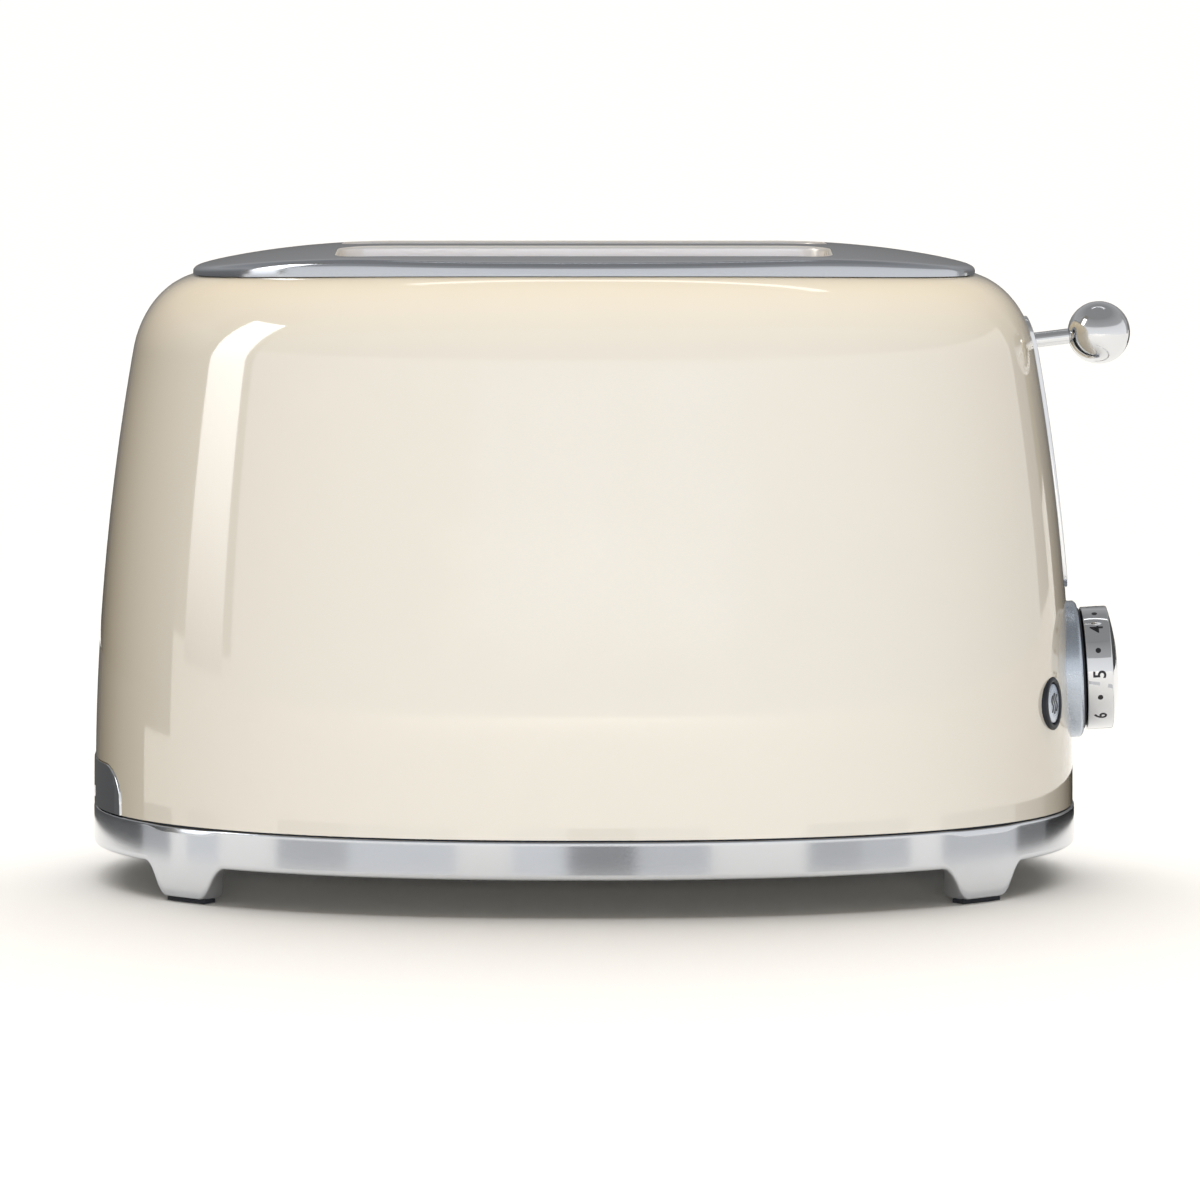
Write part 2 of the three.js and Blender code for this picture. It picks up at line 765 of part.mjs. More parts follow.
function addLever() {
  const seat = new THREE.Group();
  seat.position.set(wallX(leverHeight), 0, leverHeight);
  seat.rotation.y = Math.PI / 2 - rad(leverTilt);
  const root = -(wallX(leverHeight) - carriageX - sheet - 2 * gap) / Math.cos(rad(leverTilt));
  const tip = ballReach - ballRadius + ballSocket;
  add("lever_arm", drum(leverRadius, root, tip - gap), chrome, seat);
  const ball = new THREE.SphereGeometry(ballRadius, roundSides, smallSides).translate(0, 0, ballReach);
  add("lever_ball", cut(ball, drum(leverRadius + gap, 0, tip)), chrome, seat);
  toaster.add(seat);
}

function carriage() {
  const half = slotMiddle + rackEar;
  const low = rackRest - carriageSkirt;
  const high = rackRest + carriageHeight;
  const outline = new THREE.Shape([
    new THREE.Vector2(-half, low),
    new THREE.Vector2(half, low),
    new THREE.Vector2(half, high),
    new THREE.Vector2(stemHalf, high),
    new THREE.Vector2(stemHalf, stemTop),
    new THREE.Vector2(-stemHalf, stemTop),
    new THREE.Vector2(-stemHalf, high),
    new THREE.Vector2(-half, high),
  ]);
  const plate = prismAlongX(outline, carriageX, carriageX + sheet);
  const sleeves = [-1, 1].map((side) =>
    tube(rodRadius + pinGap, sleeveRadius, low, high).translate(rodX, (side * rodSpacing) / 2, 0));
  const springEar = block(
    [carriageX + gap, -springOffset - springRadius, springFoot - sheet - gap],
    [rodX + springRadius, springRadius - springOffset, springFoot - gap],
  );
  const keeperArm = block(
    [carriageX + gap, magnetOffset - poleRadius, keeperTop + gap],
    [magnetX + poleRadius, magnetOffset + poleRadius, keeperTop + gap + sheet],
  );
  return join(plate, ...sleeves, springEar, keeperArm);
}

function breadRack(side) {
  const y = side * slotMiddle;
  const bar = block(
    [rackTail, y - rackWall / 2, rackRest],
    [carriageX - gap, y + rackWall / 2, rackRest + rackHeight],
  );
  const tabs = Array.from({ length: rackTabs }, (_, i) => {
    const x = rackTail + rackWall + (i * (slotHalfLength - rackTail - 4 * rackWall)) / (rackTabs - 1);
    return block([x - rackWall / 2, y - rackHalf, rackRest + rackHeight / 2],
      [x + rackWall / 2, y + rackHalf, rackRest + rackHeight - gap]);
  });
  return join(bar, ...tabs);
}

// A coil that stands on the carriage's ear.
function liftSpring() {
  const steps = springTurns * springSteps;
  const points = Array.from({ length: steps + 1 }, (_, i) => {
    const angle = (2 * Math.PI * i) / springSteps;
    const rise = springWire + ((springTop - springFoot - 2 * springWire) * i) / steps;
    return new THREE.Vector3(
      rodX + (springRadius - springWire) * Math.cos(angle),
      (springRadius - springWire) * Math.sin(angle) - springOffset,
      springFoot + rise,
    );
  });
  const wire = new THREE.Shape().absarc(0, 0, springWire, 0, 2 * Math.PI);
  return new THREE.ExtrudeGeometry(wire, {
    steps,
    curveSegments: arcSteps / 2,
    bevelEnabled: false,
    extrudePath: new THREE.CatmullRomCurve3(points),
  });
}

// ---- Toasting chamber ----

function chassisPlate() {
  const half = shieldY - cardWall / 2 - gap;
  return block([0, -half, chassisBottom], [sheet, half, chassisTop]);
}

// The plate at the lever end has a slot for each rack and a folded tab at each end of the guide rods.
function leverEndPlate() {
  const plate = chassisPlate().translate(chassisX, 0, 0);
  const tabEnd = rodX + sleeveRadius;
  const tabs = [
    block([chassisX, -springOffset - sleeveRadius, chassisTop - sheet],
      [tabEnd, springOffset + sleeveRadius, chassisTop]),
    block([chassisX, -rodSpacing / 2 - sleeveRadius, chassisBottom],
      [tabEnd, rodSpacing / 2 + sleeveRadius, chassisBottom + sheet]),
  ];
  const rackSlots = [-1, 1].map((side) =>
    block([chassisX - sheet, side * slotMiddle - rackWall, rackFloor - rackWall],
      [chassisX + 2 * sheet, side * slotMiddle + rackWall, rackRest + rackHeight + rackWall]));
  const rodHoles = [-1, 1].map((side) =>
    drum(rodRadius + gap, chassisBottom - rodOverhang, chassisTop + rodOverhang, smallSides)
      .translate(rodX, (side * rodSpacing) / 2, 0));
  return cut(join(plate, ...tabs), ...rackSlots, ...rodHoles);
}

function heaterCard(y) {
  const half = slotHalfLength + chassisGap / 2;
  return block([-half, y - cardWall / 2, cardFoot], [half, y + cardWall / 2, chassisTop - chassisGap / 2]);
}

// A flat ribbon that runs to and fro up a heater card, on the card's side that faces the bread.
function heaterRibbon(card, facing) {
  const near = card + facing * (cardWall / 2 + gap);
  const [low, high] = [near, near + facing * ribbonWall].sort((a, b) => a - b);
  const half = slotHalfLength - ribbonWidth;
  const bottom = cardFoot + chassisGap;
  const pitch = (chassisTop - chassisGap - bottom - ribbonWidth) / (ribbonRuns - 1);
  const runs = Array.from({ length: ribbonRuns }, (_, i) =>
    block([-half, low, bottom + i * pitch], [half, high, bottom + i * pitch + ribbonWidth]));
  const links = runs.slice(1).map((_, i) => {
    const end = i % 2 ? half - ribbonWidth : -half;
    return block([end, low, bottom + i * pitch],
      [end + ribbonWidth, high, bottom + (i + 1) * pitch + ribbonWidth]);
  });
  return join(...runs, ...links);
}

// A wire grid that holds the bread upright, in the plane across Y.
function breadGuard(y) {
  const half = slotHalfLength - guardBar;
  const foot = cardFoot + chassisGap;
  const pitch = (2 * half - guardBar) / guardWindows;
  const windows = Array.from({ length: guardWindows }, (_, i) => {
    const left = -half + guardBar + i * pitch;
    return block([left, y - guardWall, foot + guardBar],
      [left + pitch - guardBar, y + guardWall, chassisTop - guardBar]);
  });
  return cut(block([-half, y - guardWall / 2, foot], [half, y + guardWall / 2, chassisTop]), ...windows);
}

function heatShield(side) {
  const half = chassisX - gap;
  return block(
    [-half, side * shieldY - cardWall / 2, floorTop + gap],
    [half, side * shieldY + cardWall / 2, chassisTop],
  );
}

function addChamber() {
  add("chassis_plate_lever_end", leverEndPlate(), galvanised);
  add("chassis_plate_rear_end", chassisPlate().translate(-chassisX - sheet, 0, 0), galvanised);
  add("heater_card_middle", heaterCard(0), mica);
  for (const [name, side] of [["front", -1], ["back", 1]]) {
    add("heat_shield_" + name, heatShield(side), polishedSteel);
    add("heater_card_" + name, heaterCard(side * cardOuter), mica);
    add("heater_ribbon_outer_" + name, heaterRibbon(side * cardOuter, -side), nichrome);
    add("heater_ribbon_inner_" + name, heaterRibbon(0, side), nichrome);
    add("bread_guard_outer_" + name, breadGuard(side * (slotMiddle + guardOpen)), springSteel);
    add("bread_guard_inner_" + name, breadGuard(side * (slotMiddle - guardOpen)), springSteel);
    add("bread_rack_" + name, breadRack(side), springSteel);
    const rod = drum(rodRadius, chassisBottom - rodOverhang, chassisTop + rodOverhang, smallSides);
    add("guide_rod_" + name, rod, galvanised).position.set(rodX, (side * rodSpacing) / 2, 0);
  }
  add("carriage", carriage(), galvanised);
  add("lift_spring", liftSpring(), springSteel);
  const keeperHalf = poleRadius + keeperMargin;
  const keeperFoot = keeperTop - keeperWall;
  const keeper = block([-coilRadius, -keeperHalf, keeperFoot], [coilRadius, keeperHalf, keeperTop]);
  add("magnet_keeper", keeper, galvanised).position.set(magnetX, magnetOffset, 0);
  const poleTop = keeperFoot - leverTravel - gap;
  const core = turned([
    [0, floorTop + gap],
    [coilRadius + coreFlange, floorTop + gap],
    [coilRadius + coreFlange, coreFoot],
    [poleRadius, coreFoot],
    [poleRadius, poleTop],
    [0, poleTop],
  ]);
  add("magnet_core", core, galvanised).position.set(magnetX, magnetOffset, 0);
  const coil = tube(poleRadius + gap, coilRadius, coreFoot + gap, poleTop - poleRadius);
  add("magnet_coil", coil, copper).position.set(magnetX, magnetOffset, 0);
}

// ---- Crumb tray ----

function crumbTray() {
  return cut(
    block([trayFront, -trayHalfWidth, trayBottom], [slotHalfLength, trayHalfWidth, trayBottom + trayHeight]),
    block([trayFront + trayWall, trayWall - trayHalfWidth, trayBottom + trayWall],
      [slotHalfLength - trayWall, trayHalfWidth - trayWall, handleTop]),
  );
}

// The handle is a piece of the wall above the base, with a tongue that carries the tray.
function trayHandle() {
  const face = prismAlongX(handleOutline(0, skirtBottom), -baseLength, 0);
  const tongue = block(
    [-baseLength, -tongueHalf, trayBottom + trayWall],
    [trayFront - gap, tongueHalf, trayBottom + trayHeight / 2],
  );
  return join(
    common(wallBand(-handleProud, handleDepth), face),
    common(wallBand(0, halfLength + trayFront), tongue),
  );
}

// ---- Assembly ----

add("body_shell", bodyShell(), enamel);
add("top_panel", topPanel(), polishedSteel);
add("base_frame", baseFrame(), satinChrome);
add("bottom_plate", bottomPlate(), galvanised);
for (const [name, sideX, sideY] of quarters) {
  add("foot_pad_" + name, footPad(sideX, sideY), blackRubber);
}
bossPlaces.forEach((place, i) => add("base_screw_" + (i + 1), baseScrew(place), galvanised));
add("cord_gland", cordGland(), blackRubber);
add("cord_hook_left", cordHook(-1), blackPlastic);
add("cord_hook_right", cordHook(1), blackPlastic);
add("lever_slot_trim", leverSlotTrim(), chrome);
add("crumb_tray", crumbTray(), galvanised);
add("crumb_tray_handle", trayHandle(), chrome);
const [terminalLength, terminalWidth, terminalHeight] = terminalSize;
const terminals = block([0, 0, gap], [terminalLength, terminalWidth, terminalHeight])
  .translate(glandX, glandOffset + glandRadius + terminalGap, floorTop);
add("terminal_block", terminals, blackPlastic);
addControls();
addLever();
addChamber();

// The origin lies under the middle of the whole box, which the lever's ball makes longer at one end.
const ballEnd = wallX(leverHeight) + ballReach * Math.cos(rad(leverTilt)) + ballRadius;
toaster.position.x = (halfLength - ballEnd) / 2;

export default toaster;
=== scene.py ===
import json
import math

import bmesh
import bpy
from mathutils import Matrix, Vector


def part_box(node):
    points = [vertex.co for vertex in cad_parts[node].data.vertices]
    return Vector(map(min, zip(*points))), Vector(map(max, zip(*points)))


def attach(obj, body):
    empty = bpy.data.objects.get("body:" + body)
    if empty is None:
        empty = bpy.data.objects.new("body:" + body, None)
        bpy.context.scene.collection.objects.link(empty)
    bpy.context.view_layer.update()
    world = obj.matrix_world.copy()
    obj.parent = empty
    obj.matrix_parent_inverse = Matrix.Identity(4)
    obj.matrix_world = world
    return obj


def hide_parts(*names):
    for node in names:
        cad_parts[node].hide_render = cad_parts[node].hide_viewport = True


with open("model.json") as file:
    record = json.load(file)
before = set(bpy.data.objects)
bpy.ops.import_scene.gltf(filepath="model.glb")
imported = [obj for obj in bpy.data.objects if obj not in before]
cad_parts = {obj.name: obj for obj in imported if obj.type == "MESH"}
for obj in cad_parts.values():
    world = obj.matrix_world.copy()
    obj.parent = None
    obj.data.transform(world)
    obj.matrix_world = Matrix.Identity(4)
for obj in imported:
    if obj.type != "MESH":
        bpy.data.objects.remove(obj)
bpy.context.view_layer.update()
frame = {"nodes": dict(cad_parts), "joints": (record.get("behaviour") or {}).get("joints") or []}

bl_info = {
    "name": "Pop-up Toaster",
    "version": (1, 0, 0),
    "blender": (4, 5, 0),
    "location": "3D View > Sidebar > Toaster",
    "description": "Builds the finished look of an oval two-slice toaster round its frame",
    "category": "Object",
}

MM = 0.001
FULL_TURN = 2 * math.pi
WELD = 0.002 * MM

BASE_LOW, BASE_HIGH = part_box("base_frame")
SHELL_LOW, SHELL_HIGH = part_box("body_shell")
PANEL_LOW, PANEL_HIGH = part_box("top_panel")
CENTRE_X = (BASE_LOW.x + BASE_HIGH.x) / 2
HALF_LENGTH = (BASE_HIGH.x - BASE_LOW.x) / 2
HALF_WIDTH = (BASE_HIGH.y - BASE_LOW.y) / 2
SHELL_INSET = (BASE_HIGH.y - SHELL_HIGH.y)
RIM_INSET = (BASE_HIGH.y - PANEL_HIGH.y)
JOINTS = {joint["name"]: joint for joint in frame["joints"]}


# ---- Sizes and colours a user may change ----

def length(name, description, millimetres):
    """A length property whose default is in millimetres."""
    return bpy.props.FloatProperty(
        name=name, description=description, default=millimetres * MM,
        min=0, subtype="DISTANCE", unit="LENGTH", precision=5,
    )


def colour(name, description, code):
    """A colour property whose default is an sRGB code."""
    return bpy.props.FloatVectorProperty(
        name=name, description=description, default=linear(code)[:3],
        size=3, min=0, max=1, subtype="COLOR",
    )


def linear(code):
    """An sRGB hex code as a linear colour with full alpha."""
    channels = [int(code[i:i + 2], 16) / 255 for i in (1, 3, 5)]
    return tuple(c / 12.92 if c <= 0.04045 else ((c + 0.055) / 1.055) ** 2.4 for c in channels) + (1.0,)


class BodySettings(bpy.types.PropertyGroup):
    plan_power: bpy.props.FloatProperty(
        name="Plan squareness", description="2 is an ellipse, more is squarer", default=2.25, min=2, max=4)
    sides: bpy.props.IntProperty(
        name="Sides", description="Facets round the oval plan", default=288, min=48, max=720)
    flank_lean: length("Flank lean", "How far the flank leans in below the shoulder", 12.8)
    shoulder_height: length("Shoulder height", "Height of the round shoulder below the rim", 25.5)
    sheet: length("Sheet", "Thickness of the pressed shell", 1.2)
    ledge: length("Ledge", "Width of the shelf under the top panel", 6)
    rim_gap: length("Rim gap", "Gap between the shell and the top panel", 0.3)
    rim_sag: length("Rim sag", "How far the rim drops towards the ends", 2.6)
    crown_across: length("Crown across", "Drop of the top from its middle to its front edge", 2.3)
    crown_along: length("Crown along", "Drop of the top towards its ends", 6.6)
    crown_level: length("Level crown", "Half length of the level middle of the top", 60.2)
    band: length("Rim band", "Height of the band round the top panel's edge", 4)
    band_round: length("Band round", "Radius of the panel's upper edge", 2.1)


class BaseSettings(bpy.types.PropertyGroup):
    columns: bpy.props.IntProperty(
        name="Columns", description="Facets round the base", default=900, min=180, max=1440)
    wall: length("Wall", "Thickness of the skirt", 2.4)
    skirt_bottom: length("Skirt bottom", "Height of the skirt's lower edge between the feet", 11.5)
    edge_round: length("Edge round", "Radius of the lower edge", 0.9)
    lip: length("Lip", "Radius of the upper edge", 0.6)
    foot_depth: length("Foot depth", "Thickness of a foot from front to back", 8)
    foot_bottom: length("Foot bottom", "Height of the feet's soles, just below the pads' upper faces", 1.2)
    foot_sole: length("Foot sole", "Half width of a foot at its sole", 8.8)
    foot_root: length("Foot root", "Half width of a foot where it meets the skirt", 13.8)
    foot_angle: bpy.props.FloatProperty(
        name="Foot angle", description="Place of a foot round the plan, from the end",
        default=math.radians(39), subtype="ANGLE", unit="ROTATION")


class ControlSettings(bpy.types.PropertyGroup):
    slot_width: length("Lever slot", "Width of the slot that the lever runs in", 6)
    trim_flange: length("Trim flange", "Width of the bright frame round the lever slot", 2.6)
    trim_proud: length("Trim height", "How far the frame stands off the wall", 1)
    bezel_radius: length("Bezel radius", "Radius of the ring behind the dial", 21.45)
    dial_radius: length("Dial radius", "Radius of the browning dial", 19.25)
    stop_radius: length("Stop button radius", "Radius of the button in the dial's middle", 11)
    digit_height: length("Digit height", "Height of the dial's numbers", 4.1)
    button_height: length("Button height", "Height of the side buttons above the table", 58)
    button_offset: length("Button offset", "Side buttons' distance from the middle", 36)
    lever_rod: length("Lever rod", "Radius of the lever's rod", 2.4)
    lever_tilt: bpy.props.FloatProperty(
        name="Lever tilt", description="How far the lever points up",
        default=math.radians(7), subtype="ANGLE", unit="ROTATION")


class FinishSettings(bpy.types.PropertyGroup):
    enamel: colour("Enamel", "Colour of the shell", "#E9D5AF")
    chrome: colour("Chrome", "Colour of the plated parts", "#DFE1E4")
    satin: colour("Satin chrome", "Colour of the base", "#D3D6DB")
    top: colour("Top panel", "Colour of the polished top", "#C4C8CE")
    print_black: colour("Print", "Colour of the numbers and signs", "#141414")


def settings():
    """The four groups of settings of the open scene."""
    scene = bpy.context.scene
    return scene.toaster_body, scene.toaster_base, scene.toaster_controls, scene.toaster_finish


# ---- The oval plan and the wall ----

def oval_point(angle, inset):
    """A point of the oval at an angle from +X, inset from the base's outline."""
    power = 2 / bpy.context.scene.toaster_body.plan_power

    def bend(value):
        return math.copysign(abs(value) ** power, value)

    return (HALF_LENGTH - inset) * bend(math.cos(angle)), (HALF_WIDTH - inset) * bend(math.sin(angle))


def end_reach(y, inset):
    """The oval's half length along a line at y."""
    power = bpy.context.scene.toaster_body.plan_power
    share = min(1.0, abs(y) / (HALF_WIDTH - inset))
    return (HALF_LENGTH - inset) * (1 - share ** power) ** (1 / power)


def wall_arcs():
    """The flank's and shoulder's arcs: two radii, two angles, the shoulder's centre as (inset, height)."""
    body = bpy.context.scene.toaster_body
    flank_height = SHELL_HIGH.z - body.shoulder_height - SHELL_LOW.z
    flank_radius = (flank_height ** 2 + body.flank_lean ** 2) / (2 * body.flank_lean)
    flank_angle = math.asin(flank_height / flank_radius)
    run = RIM_INSET - body.rim_gap - SHELL_INSET - body.flank_lean
    turn = math.atan2(run, body.shoulder_height) - flank_angle
    radius = math.hypot(run, body.shoulder_height) / (2 * math.sin(turn))
    centre = (
        SHELL_INSET + body.flank_lean + radius * math.cos(flank_angle),
        SHELL_LOW.z + flank_height - radius * math.sin(flank_angle),
    )
    return flank_radius, flank_angle, radius, turn, centre


def wall_line(depth, flank_steps, shoulder_steps):
    """The wall's section from its foot to its rim, or a line parallel to it at a depth inside."""
    flank_radius, flank_angle, radius, turn, centre = wall_arcs()
    line = []
    for i in range(flank_steps + 1):
        angle = flank_angle * i / flank_steps
        line.append((
            SHELL_INSET + flank_radius - (flank_radius - depth) * math.cos(angle),
            SHELL_LOW.z + (flank_radius - depth) * math.sin(angle),
        ))
    for i in range(1, shoulder_steps + 1):
        angle = flank_angle + 2 * turn * i / shoulder_steps
        line.append((
            centre[0] - (radius - depth) * math.cos(angle),
            centre[1] + (radius - depth) * math.sin(angle),
        ))
    return line


def wall_inset(height):
    """How far the wall stands inside the base's outline at a height."""
    flank_radius, flank_angle, radius, _, centre = wall_arcs()
    rise = height - SHELL_LOW.z
    if rise <= flank_radius * math.sin(flank_angle):
        return SHELL_INSET + flank_radius - math.sqrt(flank_radius ** 2 - rise ** 2)
    return centre[0] - math.sqrt(max(0.0, radius ** 2 - (height - centre[1]) ** 2))


def sag_at(angle):
    """How far the rim has dropped at an angle round the plan."""
    body = bpy.context.scene.toaster_body
    return body.rim_sag * abs(math.cos(angle)) ** (2 * RIM_SAG_POWER / body.plan_power)


RIM_SAG_POWER = 2.6
RIM_SAG_FADE = 30


def dome_at(x, y):
    """The crowned top's height over a point of the plan."""
    body = bpy.context.scene.toaster_body
    across = y / (HALF_WIDTH - RIM_INSET)
    past = max(0.0, abs(x) - body.crown_level) / (HALF_LENGTH - RIM_INSET - body.crown_level)
    return PANEL_HIGH.z - body.crown_across * across ** 2 - body.crown_along * past ** 2


def seat_on(origin, axis):
    """The matrix of a control: its Z points out along the axis, and its Y stays level."""
    out = Vector(axis).normalized()
    level = Vector((0, 0, 1)).cross(out).normalized()
    turned_by = Matrix((level.cross(out), level, out)).transposed().to_4x4()
    return Matrix.Translation(origin) @ turned_by


def button_seat(joint, side):
    """The seat of a side button on the wall."""
    controls = bpy.context.scene.toaster_controls
    y = side * controls.button_offset
    x = CENTRE_X + end_reach(y, wall_inset(controls.button_height))
    return seat_on((x, y, controls.button_height), JOINTS[joint]["axis"])


# ---- Mesh helpers ----

def wire(bm, points, closed):
    """Adds points joined by edges, in a ring if closed."""
    verts = [bm.verts.new(point) for point in points]
    ends = verts[1:] + verts[:1] if closed else verts[1:]
    return verts, [bm.edges.new(pair) for pair in zip(verts, ends)]


def spun_oval(section, sides, place, closed=True):
    """Spins a section of (inset, height) round Z, then draws it out to the oval plan."""
    bm = bmesh.new()
    verts, edges = wire(bm, [(HALF_WIDTH - inset, 0, height) for inset, height in section], closed)
    bmesh.ops.spin(bm, geom=verts + edges, cent=(0, 0, 0), axis=(0, 0, 1),
                   angle=FULL_TURN, steps=sides, use_merge=True)
    for vert in bm.verts:
        angle = math.atan2(vert.co.y, vert.co.x)
        inset = HALF_WIDTH - math.hypot(vert.co.x, vert.co.y)
        x, y, z = place(angle, inset, vert.co.z)
        vert.co = (x + CENTRE_X, y, z)
    bmesh.ops.remove_doubles(bm, verts=bm.verts, dist=WELD)
    return bm


def turned(section, seat, sides=96, rounding=0.0, closed=True):
    """Spins a section of (radius, height) round Z and sets it on a seat. Its corners are rounded first."""
    bm = bmesh.new()
    points = [(radius, 0, height) for radius, height in section]
    verts, _ = wire(bm, points, closed)
    if rounding:
        corners = [v for v in verts if len(v.link_edges) == 2 and v.co.x > WELD]
        bmesh.ops.bevel(bm, geom=corners, offset=rounding, offset_type="OFFSET", segments=3,
                        profile=0.5, affect="VERTICES", clamp_overlap=True, material=-1)
    bmesh.ops.spin(bm, geom=bm.verts[:] + bm.edges[:], cent=(0, 0, 0), axis=(0, 0, 1),
                   angle=FULL_TURN, steps=sides, use_merge=True)
    bm.transform(seat)
    return bm


def lofted(loops, closed=False):
    """Joins rings of as many points one after another. The two ends are capped, or joined if closed."""
    bm = bmesh.new()
    rings = [[bm.verts.new(point) for point in loop] for loop in loops]
    following = rings[1:] + rings[:1] if closed else rings[1:]
    for one, other in zip(rings, following):
        for i in range(len(one)):
            bm.faces.new((one[i - 1], one[i], other[i], other[i - 1]))
    if not closed:
        bm.faces.new(rings[0])
        bm.faces.new(rings[-1])
    bmesh.ops.recalc_face_normals(bm, faces=bm.faces)
    return bm


def rounded_rectangle(left, right, low, high, radius, steps=8):
    """Points round a rectangle with round corners."""
    points = []
    corners = ((right - radius, low + radius), (right - radius, high - radius),
               (left + radius, high - radius), (left + radius, low + radius))
    for quarter, (across, up) in enumerate(corners, start=-1):
        for i in range(steps + 1):
            angle = FULL_TURN / 4 * (quarter + i / steps)
            points.append((across + radius * math.cos(angle), up + radius * math.sin(angle)))
    return points


def sliced(bm, axis, low, high, step):
    """Cuts a mesh across an axis at every step, so that it can follow a curve."""
    count = round((high - low) / step)
    for i in range(1, count):
        place = Vector((0, 0, 0))
        place[axis] = low + (high - low) * i / count
        normal = Vector((0, 0, 0))
        normal[axis] = 1
        bmesh.ops.bisect_plane(bm, geom=bm.verts[:] + bm.edges[:] + bm.faces[:], dist=WELD / 4,
                               plane_co=place, plane_no=normal)


def laid_on_wall(bm, end):
    """Lays a flat mesh, whose X is its height off the wall, on the wall at one end."""
    for vert in bm.verts:
        proud, y, z = vert.co
        vert.co.x = CENTRE_X + end * end_reach(y, wall_inset(z) - proud)


def joined(*meshes):
    """Several meshes as one."""
    whole = bmesh.new()
    for part in meshes:
        carrier = bpy.data.meshes.new("part")
        part.to_mesh(carrier)
        part.free()
        whole.from_mesh(carrier)
        bpy.data.meshes.remove(carrier)
    return whole


def held(bm, name):
    """A mesh as an object in the scene."""
    data = bpy.data.meshes.new(name)
    bm.to_mesh(data)
    bm.free()
    obj = bpy.data.objects.new(name, data)
    bpy.context.scene.collection.objects.link(obj)
    return obj


def carved(bm, cutters):
    """Takes the cutters' space out of a mesh."""
    for solid in (bm, *cutters):
        bmesh.ops.recalc_face_normals(solid, faces=solid.faces)
    body = held(bm, "body")
    tools = [held(cutter, "cutter") for cutter in cutters]
    for tool in tools:
        cut = body.modifiers.new("Cut", "BOOLEAN")
        cut.operation = "DIFFERENCE"
        cut.solver = "EXACT"
        cut.object = tool
    result = bmesh.new()
    result.from_object(body, bpy.context.evaluated_depsgraph_get())
    for obj in (body, *tools):
        bpy.data.meshes.remove(obj.data)
    return result


def piece(name, bm, material, body, replaced=(), crease=35):
    """Finishes a mesh as a piece: welded, facing out, smooth but for its creases, and riding on a body."""
    bmesh.ops.remove_doubles(bm, verts=bm.verts, dist=WELD)
    bmesh.ops.dissolve_degenerate(bm, edges=bm.edges, dist=WELD / 4)
    bmesh.ops.recalc_face_normals(bm, faces=bm.faces)
    obj = held(bm, name)
    obj.data.shade_smooth()
    obj.data.set_sharp_from_angle(angle=math.radians(crease))
    obj.data.materials.append(material)
    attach(obj, body)
    if replaced:
        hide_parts(*replaced)
    return obj


# ---- Materials ----

def add_node(tree, kind, inputs, **options):
    """Adds a node with its options. An input takes a value or another node's output."""
    node = tree.nodes.new(kind)
    for name, value in options.items():
        setattr(node, name, value)
    for name, value in inputs.items():
        if isinstance(value, bpy.types.NodeSocket):
            tree.links.new(value, node.inputs[name])
        else:
            node.inputs[name].default_value = value
    return node


def material_of(name, colours, roughness, grain, stretch=(1, 1, 1), depth=0.0, **shader):
    """A surface whose colour and roughness vary with a grain of a real size in millimetres.

    colours holds two linear colours that the grain mixes, and roughness its lowest and highest value.
    """
    if name in bpy.data.materials:
        return bpy.data.materials[name]
    material = bpy.data.materials.new(name)
    material.use_nodes = True
    tree = material.node_tree
    tree.nodes.clear()
    place = add_node(tree, "ShaderNodeTexCoord", {})
    scaled = add_node(tree, "ShaderNodeMapping", {"Vector": place.outputs["Object"], "Scale": stretch})
    noise = add_node(tree, "ShaderNodeTexNoise", {
        "Vector": scaled.outputs["Vector"], "Scale": 1 / (grain * MM), "Detail": 3.0, "Roughness": 0.6})
    tint = add_node(tree, "ShaderNodeMix", {
        "Factor": noise.outputs["Fac"], "A": colours[0], "B": colours[1]}, data_type="RGBA")
    gloss = add_node(tree, "ShaderNodeMapRange", {
        "Value": noise.outputs["Fac"], "From Min": 0.3, "From Max": 0.7,
        "To Min": roughness[0], "To Max": roughness[1]})
    surface = add_node(tree, "ShaderNodeBsdfPrincipled", {
        "Base Color": tint.outputs["Result"], "Roughness": gloss.outputs["Result"], **shader})
    if depth:
        bump = add_node(tree, "ShaderNodeBump", {
            "Height": noise.outputs["Fac"], "Strength": 1.0, "Distance": depth * MM})
        tree.links.new(bump.outputs["Normal"], surface.inputs["Normal"])
    add_node(tree, "ShaderNodeOutputMaterial", {"Surface": surface.outputs["BSDF"]})
    return material


def shades(base, spread):
    """Two shades of a linear colour, one darker and one lighter."""
    return [tuple(min(1.0, c * (1 + side * spread)) for c in base[:3]) + (1.0,) for side in (-1, 1)]


def enamel():
    # Vitreous enamel on pressed steel, sprayed and fired: deep gloss with a faint ripple some 14 mm across.
    finish = bpy.context.scene.toaster_finish
    return material_of("fired_enamel", shades(finish.enamel, 0.012), (0.05, 0.08), 14, depth=0.012,
                       **{"IOR": 1.6, "Coat Weight": 1.0, "Coat Roughness": 0.03, "Coat IOR": 1.6})


def chrome():
    # Bright chromium plate on steel: mirror-like, with smears of handling some 9 mm across.
    finish = bpy.context.scene.toaster_finish
    return material_of("chromium_plate", shades(finish.chrome, 0.01), (0.03, 0.07), 9, Metallic=1.0)


def soft_chrome():
    # Chrome over a tumbled casting: a mirror a little softened all over.
    finish = bpy.context.scene.toaster_finish
    return material_of("tumbled_chrome", shades(finish.chrome, 0.02), (0.1, 0.15), 0.5, depth=0.001,
                       Metallic=1.0)


def rolled_edge():
    # Brushed steel where the slots' edges fold down: duller than the polished top.
    return material_of("brushed_steel_edge", shades(linear("#F2E9DA"), 0.02), (0.3, 0.4), 0.3, depth=0.002,
                       Metallic=0.75)


